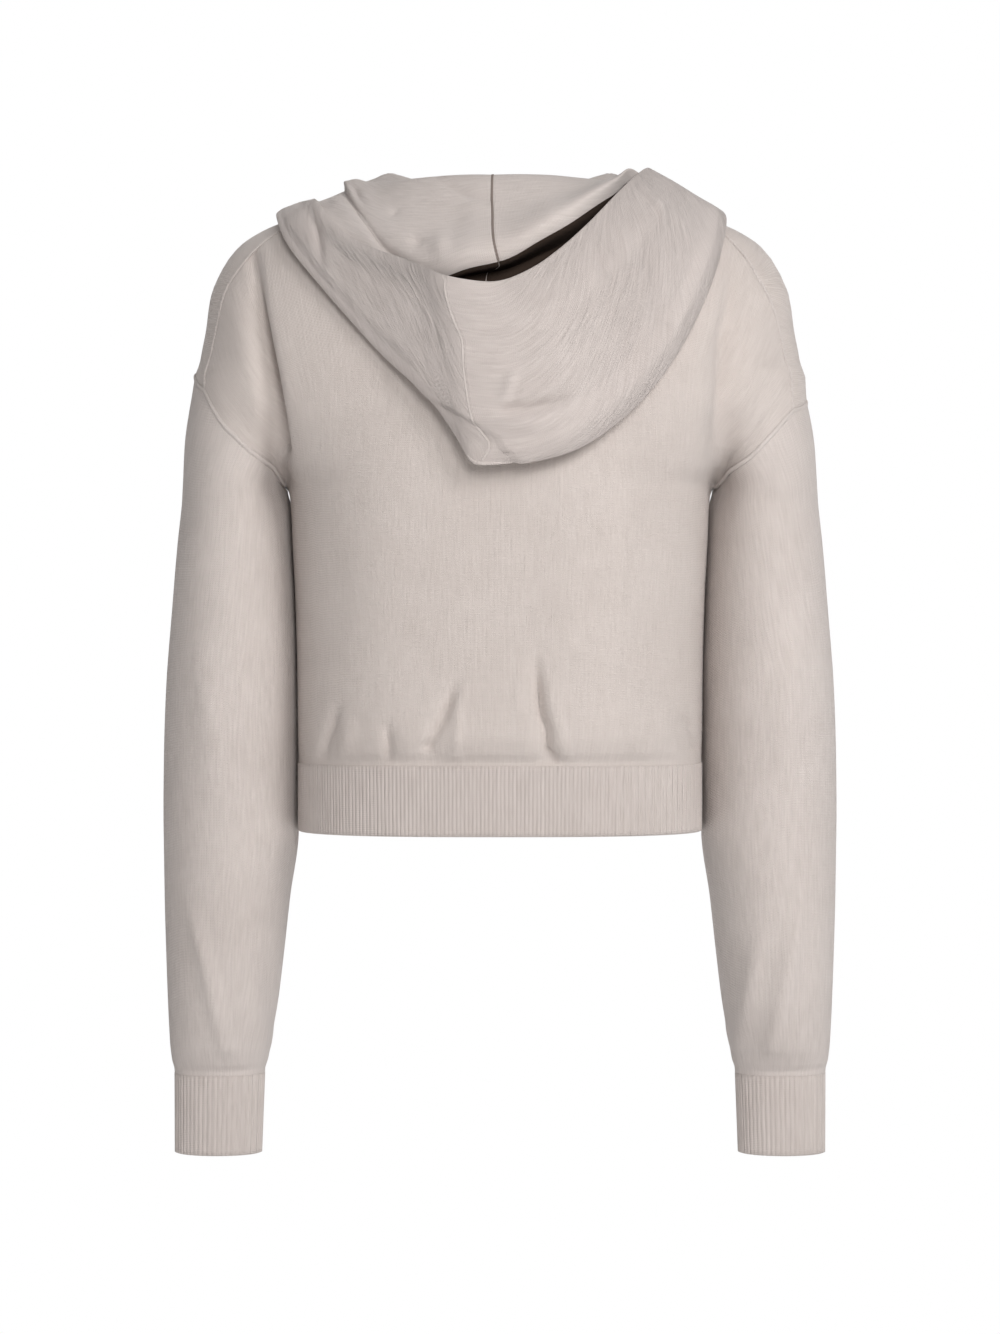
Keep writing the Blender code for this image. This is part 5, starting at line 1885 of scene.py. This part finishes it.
# ---- finer creases of the shells -----------------------------------------------------------
BACK_CREASES: tuple[Crease, ...] = (
    Crease(
        (
            (0.1812, -0.0345), (0.1729, -0.0568), (0.168, -0.093), (0.1617, -0.1286),
            (0.1548, -0.1662), (0.152, -0.1864),
        ),
        0.0042, 0.0100, 0.3, 0.8,
    ),
    Crease(
        (
            (-0.168, -0.0393), (-0.1589, -0.0826), (-0.1555, -0.1244), (-0.1548, -0.1592),
            (-0.1534, -0.1802),
        ),
        0.005, 0.0034, 0.1, 0.6,
    ),
    Crease(
        ((-0.1657, -0.085), (-0.154, -0.1064), (-0.1436, -0.1347), (-0.1388, -0.152)),
        0.007, 0.0022, 0.1, 0.2,
    ),
    Crease(
        ((0.1113, -0.3631), (0.1168, -0.3789), (0.123, -0.3948), (0.1237, -0.4051)),
        0.003, 0.0026, 0.1, 0.9,
    ),
    Crease(((0.0783, -0.3776), (0.0763, -0.4044)), 0.003, 0.0022, 0.1, 0.9),
    Crease(((0.0282, -0.348), (0.0405, -0.3769), (0.0495, -0.3941)), 0.0034, 0.0042, 0.1, 0.9),
    Crease(((0.0261, -0.3446), (0.0289, -0.3714), (0.0302, -0.4016)), 0.004, -0.0022, 0.1, 0.5),
    Crease(
        (
            (-0.0247, -0.3302), (-0.0261, -0.3494), (-0.0282, -0.37), (-0.033, -0.3838),
            (-0.033, -0.3948), (-0.0378, -0.4037),
        ),
        0.003, 0.0056, 0.1, 0.9,
    ),
    Crease(
        ((-0.0337, -0.3391), (-0.0364, -0.3645), (-0.0426, -0.3851), (-0.0467, -0.4009)),
        0.0044, -0.002, 0.1, 0.5,
    ),
    Crease(((-0.123, -0.3721), (-0.1347, -0.381), (-0.1381, -0.3948)), 0.0036, 0.0026, 0.1, 0.8),
    Crease(((0.1017, -0.3721), (0.1058, -0.3872), (0.11, -0.4023)), 0.005, -0.0016, 0.1, 0.6),
    Crease(((-0.0687, -0.2649), (-0.0729, -0.3198), (-0.077, -0.3611)), 0.012, 0.0012, 0.1, 0.3),
    Crease(((0.1168, -0.2374), (0.1127, -0.2924), (0.1168, -0.3473)), 0.012, 0.0012, 0.1, 0.3),
)
FRONT_CREASES: tuple[Crease, ...] = (
    Crease(((0.098, -0.3), (0.104, -0.35), (0.1, -0.406)), 0.0034, 0.003, 0.1, 0.8),
    Crease(((0.052, -0.322), (0.056, -0.37), (0.05, -0.406)), 0.0032, 0.0034, 0.1, 0.8),
    Crease(((-0.05, -0.33), (-0.058, -0.372), (-0.052, -0.406)), 0.0032, 0.0036, 0.1, 0.8),
    Crease(((-0.108, -0.338), (-0.102, -0.406)), 0.0034, 0.0026, 0.1, 0.8),
    Crease(((0.0205, -0.13), (0.023, -0.18), (0.0215, -0.232)), 0.004, 0.0014, 0.1, 0.8),
    Crease(((-0.0205, -0.19), (-0.0235, -0.25), (-0.021, -0.3)), 0.004, 0.0014, 0.1, 0.8),
)
HOOD_CREASES: tuple[Crease | Layer, ...] = (
    Crease(((-0.0101, -0.139), (-0.0074, -0.1512), (-0.0041, -0.1634)), 0.0042, -0.0042, 0.1, 0.5),
    Crease(((-0.0128, -0.1444), (-0.0088, -0.1566), (-0.0061, -0.1634)), 0.003, 0.0039, 0.2, 0.8),
    Crease(
        ((-0.0034, -0.1654), (-0.0162, -0.1647), (-0.0291, -0.1627), (-0.0507, -0.1559)),
        0.005, 0.006, 0.8, 0.1,
    ),
    Crease(((-0.002, -0.1742), (-0.0203, -0.1742), (-0.0405, -0.1674)), 0.006, -0.0024, 0.4, 0.1),
    Crease(((-0.0653, -0.0518), (-0.0701, -0.0642), (-0.0742, -0.0745)), 0.004, 0.0039, 0.2, 0.2),
    Crease(((-0.0967, -0.0366), (-0.0994, -0.0587), (-0.1036, -0.0801)), 0.007, 0.0027, 0.2, 0.3),
    Crease(((-0.1072, -0.0078), (-0.11, -0.0211), (-0.1121, -0.0351)), 0.0046, -0.003, 0.2, 0.2),
    Crease(((-0.0912, -0.1172), (-0.083, -0.1335), (-0.0708, -0.1485)), 0.008, 0.0024, 0.2, 0.2),
    Crease(((0.133, -0.0133), (0.1281, -0.0302), (0.1224, -0.0612)), 0.003, 0.0036, 0.2, 0.4),
    Crease(((0.1173, -0.0491), (0.1027, -0.0734), (0.0805, -0.0963)), 0.009, 0.0027, 0.2, 0.2),
    Crease(((0.023, -0.1188), (0.0068, -0.1161), (-0.0135, -0.1106)), 0.008, 0.0018, 0.2, 0.2),
    Layer(
        (
            (0.0547, -0.1512), (0.046, -0.158), (0.0372, -0.1627), (0.0149, -0.1755),
            (0.0041, -0.1836), (0, -0.189), (-0.0101, -0.1985),
        ),
        0.0026, 0.0018, 0.020,
    ),
)
HOOD_INNER_CREASES: tuple[Crease, ...] = (
    Crease(
        ((0.0446, 0.0025), (0.0328, -0.0052), (0.0209, -0.0122), (0.0084, -0.0163)),
        0.0028, 0.0026, 0.3, 0.5,
    ),
    Crease(((0.0405, -0.0394), (0.0405, -0.0484), (0.0385, -0.0601)), 0.006, -0.003, 0.3, 0.3),
    Crease(((0.0573, -0.0408), (0.0573, -0.0504)), 0.005, 0.003, 0.3, 0.3),
    Crease(((0.0753, -0.0198), (0.0711, -0.0247)), 0.004, 0.002, 0.3, 0.3),
    Crease(
        ((0.1084, 0.0069), (0.1035, 0.0019), (0.0999, -0.0059), (0.0949, -0.0138)),
        0.003, 0.003, 0.4, 0.3,
    ),
)
SLEEVE_CREASES: dict[Side, tuple[tuple[Face, Crease], ...]] = {
    Side.LEFT: (
        (Face.BACK, Crease(
            (
                (0.2048, -0.4932), (0.1955, -0.526), (0.1841, -0.5624), (0.1762, -0.5938),
                (0.1691, -0.6145),
            ),
            0.0055, 0.004, 0.1, 0.7,
        )),
        (Face.BACK, Crease(
            ((0.1955, -0.4932), (0.1855, -0.526), (0.1741, -0.5624), (0.1655, -0.5974)),
            0.006, -0.0016, 0.1, 0.3,
        )),
        (Face.BACK, Crease(
            ((0.2105, -0.1622), (0.2119, -0.2621), (0.2083, -0.3619), (0.2055, -0.4476)),
            0.007, 0.0034, 0.3, 0.3,
        )),
        (Face.BACK, Crease(
            ((0.1698, -0.2335), (0.1669, -0.2906), (0.1698, -0.3548)),
            0.008, 0.0018, 0.2, 0.2,
        )),
        (Face.BACK, Crease(
            ((0.2169, -0.576), (0.2112, -0.601), (0.2069, -0.6188)),
            0.005, 0.0022, 0.2, 0.8,
        )),
        (Face.FRONT, Crease(
            ((0.2105, -0.3191), (0.2033, -0.3762), (0.1998, -0.4333)),
            0.01, 0.0026, 0.2, 0.2,
        )),
        (Face.FRONT, Crease(
            ((0.2212, -0.5046), (0.2105, -0.5474), (0.1983, -0.6117)),
            0.006, 0.0036, 0.1, 0.7,
        )),
        (Face.FRONT, Crease(
            ((0.1855, -0.526), (0.1784, -0.5688), (0.1727, -0.6117)),
            0.006, 0.003, 0.1, 0.7,
        )),
    ),
    Side.RIGHT: (
        (Face.BACK, Crease(
            (
                (-0.1969, -0.5039), (-0.1891, -0.5424), (-0.1805, -0.5724), (-0.1727, -0.5967),
                (-0.1677, -0.6131),
            ),
            0.005, 0.004, 0.1, 0.7,
        )),
        (Face.BACK, Crease(
            ((-0.2133, -0.5039), (-0.2076, -0.5353), (-0.2055, -0.5589), (-0.204, -0.6131)),
            0.0055, 0.0032, 0.1, 0.7,
        )),
        (Face.BACK, Crease(((-0.1834, -0.6174), (-0.1862, -0.6281)), 0.004, 0.0022, 0.3, 0.8)),
        (Face.BACK, Crease(
            (
                (-0.2012, -0.1279), (-0.2048, -0.1593), (-0.2098, -0.185), (-0.2119, -0.2185),
                (-0.214, -0.2906), (-0.2147, -0.3619), (-0.214, -0.4333),
            ),
            0.006, 0.0038, 0.3, 0.1,
        )),
        (Face.BACK, Crease(
            ((-0.2247, -0.3619), (-0.2226, -0.4333), (-0.2183, -0.4904)),
            0.009, -0.0016, 0.2, 0.2,
        )),
        (Face.BACK, Crease(
            ((-0.1712, -0.2621), (-0.1698, -0.3334), (-0.1727, -0.3905)),
            0.008, 0.0016, 0.2, 0.2,
        )),
        (Face.FRONT, Crease(
            ((-0.2069, -0.3049), (-0.2026, -0.3762), (-0.1998, -0.4333)),
            0.01, 0.0026, 0.2, 0.2,
        )),
        (Face.FRONT, Crease(
            ((-0.214, -0.5046), (-0.2069, -0.5474), (-0.1969, -0.6117)),
            0.006, 0.0036, 0.1, 0.7,
        )),
        (Face.FRONT, Crease(
            ((-0.1855, -0.526), (-0.1798, -0.5688), (-0.1741, -0.6117)),
            0.006, 0.003, 0.1, 0.7,
        )),
    ),
}


# ---- studio --------------------------------------------------------------------------------
@dataclass(frozen=True)
class Lamp:
    """A soft area light: where it stands, what it faces, its size and power."""

    name: str
    at: tuple[float, float, float]
    size: float
    power: float
    colour: Colour = (1.0, 1.0, 1.0)


@dataclass(frozen=True)
class Studio:
    """Pale floor, soft lights and the camera straight behind the garment."""

    distance: float = 2.2
    frame_height: float = 0.9605
    middle: float = -0.3384
    floor_drop: float = -1.15
    floor_half: float = 7.0
    lamps: tuple[Lamp, ...] = (
        Lamp("key_soft_box", (-1.5, 2.0, 1.0), 1.0, 30.0),
        Lamp("camera_soft_box", (-0.5, 2.9, 0.55), 1.1, 43.0),
        Lamp("front_soft_box", (0.5, -2.6, 0.7), 1.6, 46.0),
    )

    def build(self) -> None:
        """Builds the floor, the lights and the camera."""
        self.world()
        self.floor()
        for lamp in self.lamps:
            self.light(lamp)
        self.camera()

    def world(self) -> None:
        """White surroundings to the eye, softer ones to the light."""
        world = bpy.data.worlds.new("studio_air")
        world.use_nodes = True
        nodes, links = world.node_tree.nodes, world.node_tree.links
        sky = nodes["Background"]
        seen = nodes.new("ShaderNodeBackground")
        seen.inputs["Color"].default_value = (1, 1, 1, 1)
        sky.inputs["Color"].default_value = (1, 1, 1, 1)
        sky.inputs["Strength"].default_value = 0.36
        path, mix = nodes.new("ShaderNodeLightPath"), nodes.new("ShaderNodeMixShader")
        links.new(path.outputs["Is Camera Ray"], mix.inputs[0])
        links.new(sky.outputs[0], mix.inputs[1])
        links.new(seen.outputs[0], mix.inputs[2])
        links.new(mix.outputs[0], nodes["World Output"].inputs["Surface"])
        bpy.context.scene.world = world
        bpy.context.scene.view_settings.view_transform = "Standard"

    def floor(self) -> None:
        """Lays the pale floor well below the garment."""
        half, z = self.floor_half, self.floor_drop
        points = np.array([(-half, -half, z), (half, -half, z), (half, half, z), (-half, half, z)])
        mesh = bpy.data.meshes.new("floor")
        mesh.from_pydata([tuple(p) for p in points], [], [(0, 1, 2, 3)])
        made = bpy.data.materials.new("pale_floor")
        made.use_nodes = True
        shader = made.node_tree.nodes["Principled BSDF"]
        shader.inputs["Base Color"].default_value = (0.93, 0.93, 0.93, 1)
        shader.inputs["Roughness"].default_value = 0.9
        glow = made.node_tree.nodes.new("ShaderNodeEmission")
        path = made.node_tree.nodes.new("ShaderNodeLightPath")
        mix = made.node_tree.nodes.new("ShaderNodeMixShader")
        links = made.node_tree.links
        links.new(path.outputs["Is Camera Ray"], mix.inputs[0])
        links.new(shader.outputs[0], mix.inputs[1])
        links.new(glow.outputs[0], mix.inputs[2])
        links.new(mix.outputs[0], made.node_tree.nodes["Material Output"].inputs["Surface"])
        mesh.materials.append(made)
        floor = bpy.data.objects.new("floor", mesh)
        bpy.context.scene.collection.objects.link(floor)

    def light(self, lamp: Lamp) -> None:
        """Hangs one soft box that faces the middle of the garment."""
        data = bpy.data.lights.new(lamp.name, "AREA")
        data.shape, data.size, data.energy, data.color = "DISK", lamp.size, lamp.power, lamp.colour
        made = bpy.data.objects.new(lamp.name, data)
        made.location = lamp.at
        aim = np.array((0, 0, self.middle)) - np.array(lamp.at)
        flat = math.hypot(aim[0], aim[1])
        made.rotation_euler = (math.atan2(flat, -aim[2]), 0, math.atan2(-aim[0], aim[1]))
        bpy.context.scene.collection.objects.link(made)

    def camera(self) -> None:
        """Places the camera level and straight behind, at the photo's distance."""
        data = bpy.data.cameras.new("photo_camera")
        data.sensor_width = 36.0
        data.lens = data.sensor_width * self.distance / self.frame_height
        made = bpy.data.objects.new("photo_camera", data)
        made.location = (0, self.distance, self.middle)
        made.rotation_euler = (math.pi / 2, 0, math.pi)
        bpy.context.scene.collection.objects.link(made)
        bpy.context.scene.camera = made


def main() -> None:
    """Builds every piece around the frame and reports it."""
    logging.basicConfig(level=logging.INFO, format="%(name)s: %(message)s")
    for old in list(bpy.data.objects):
        bpy.data.objects.remove(old, do_unlink=True)
    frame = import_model()
    Studio().build()
    BodyPanels().build()
    Sleeves().build()
    RibBands().build()
    Hood().build()
    Zip().build(frame["nodes"])


if __name__ == "__main__":
    main()
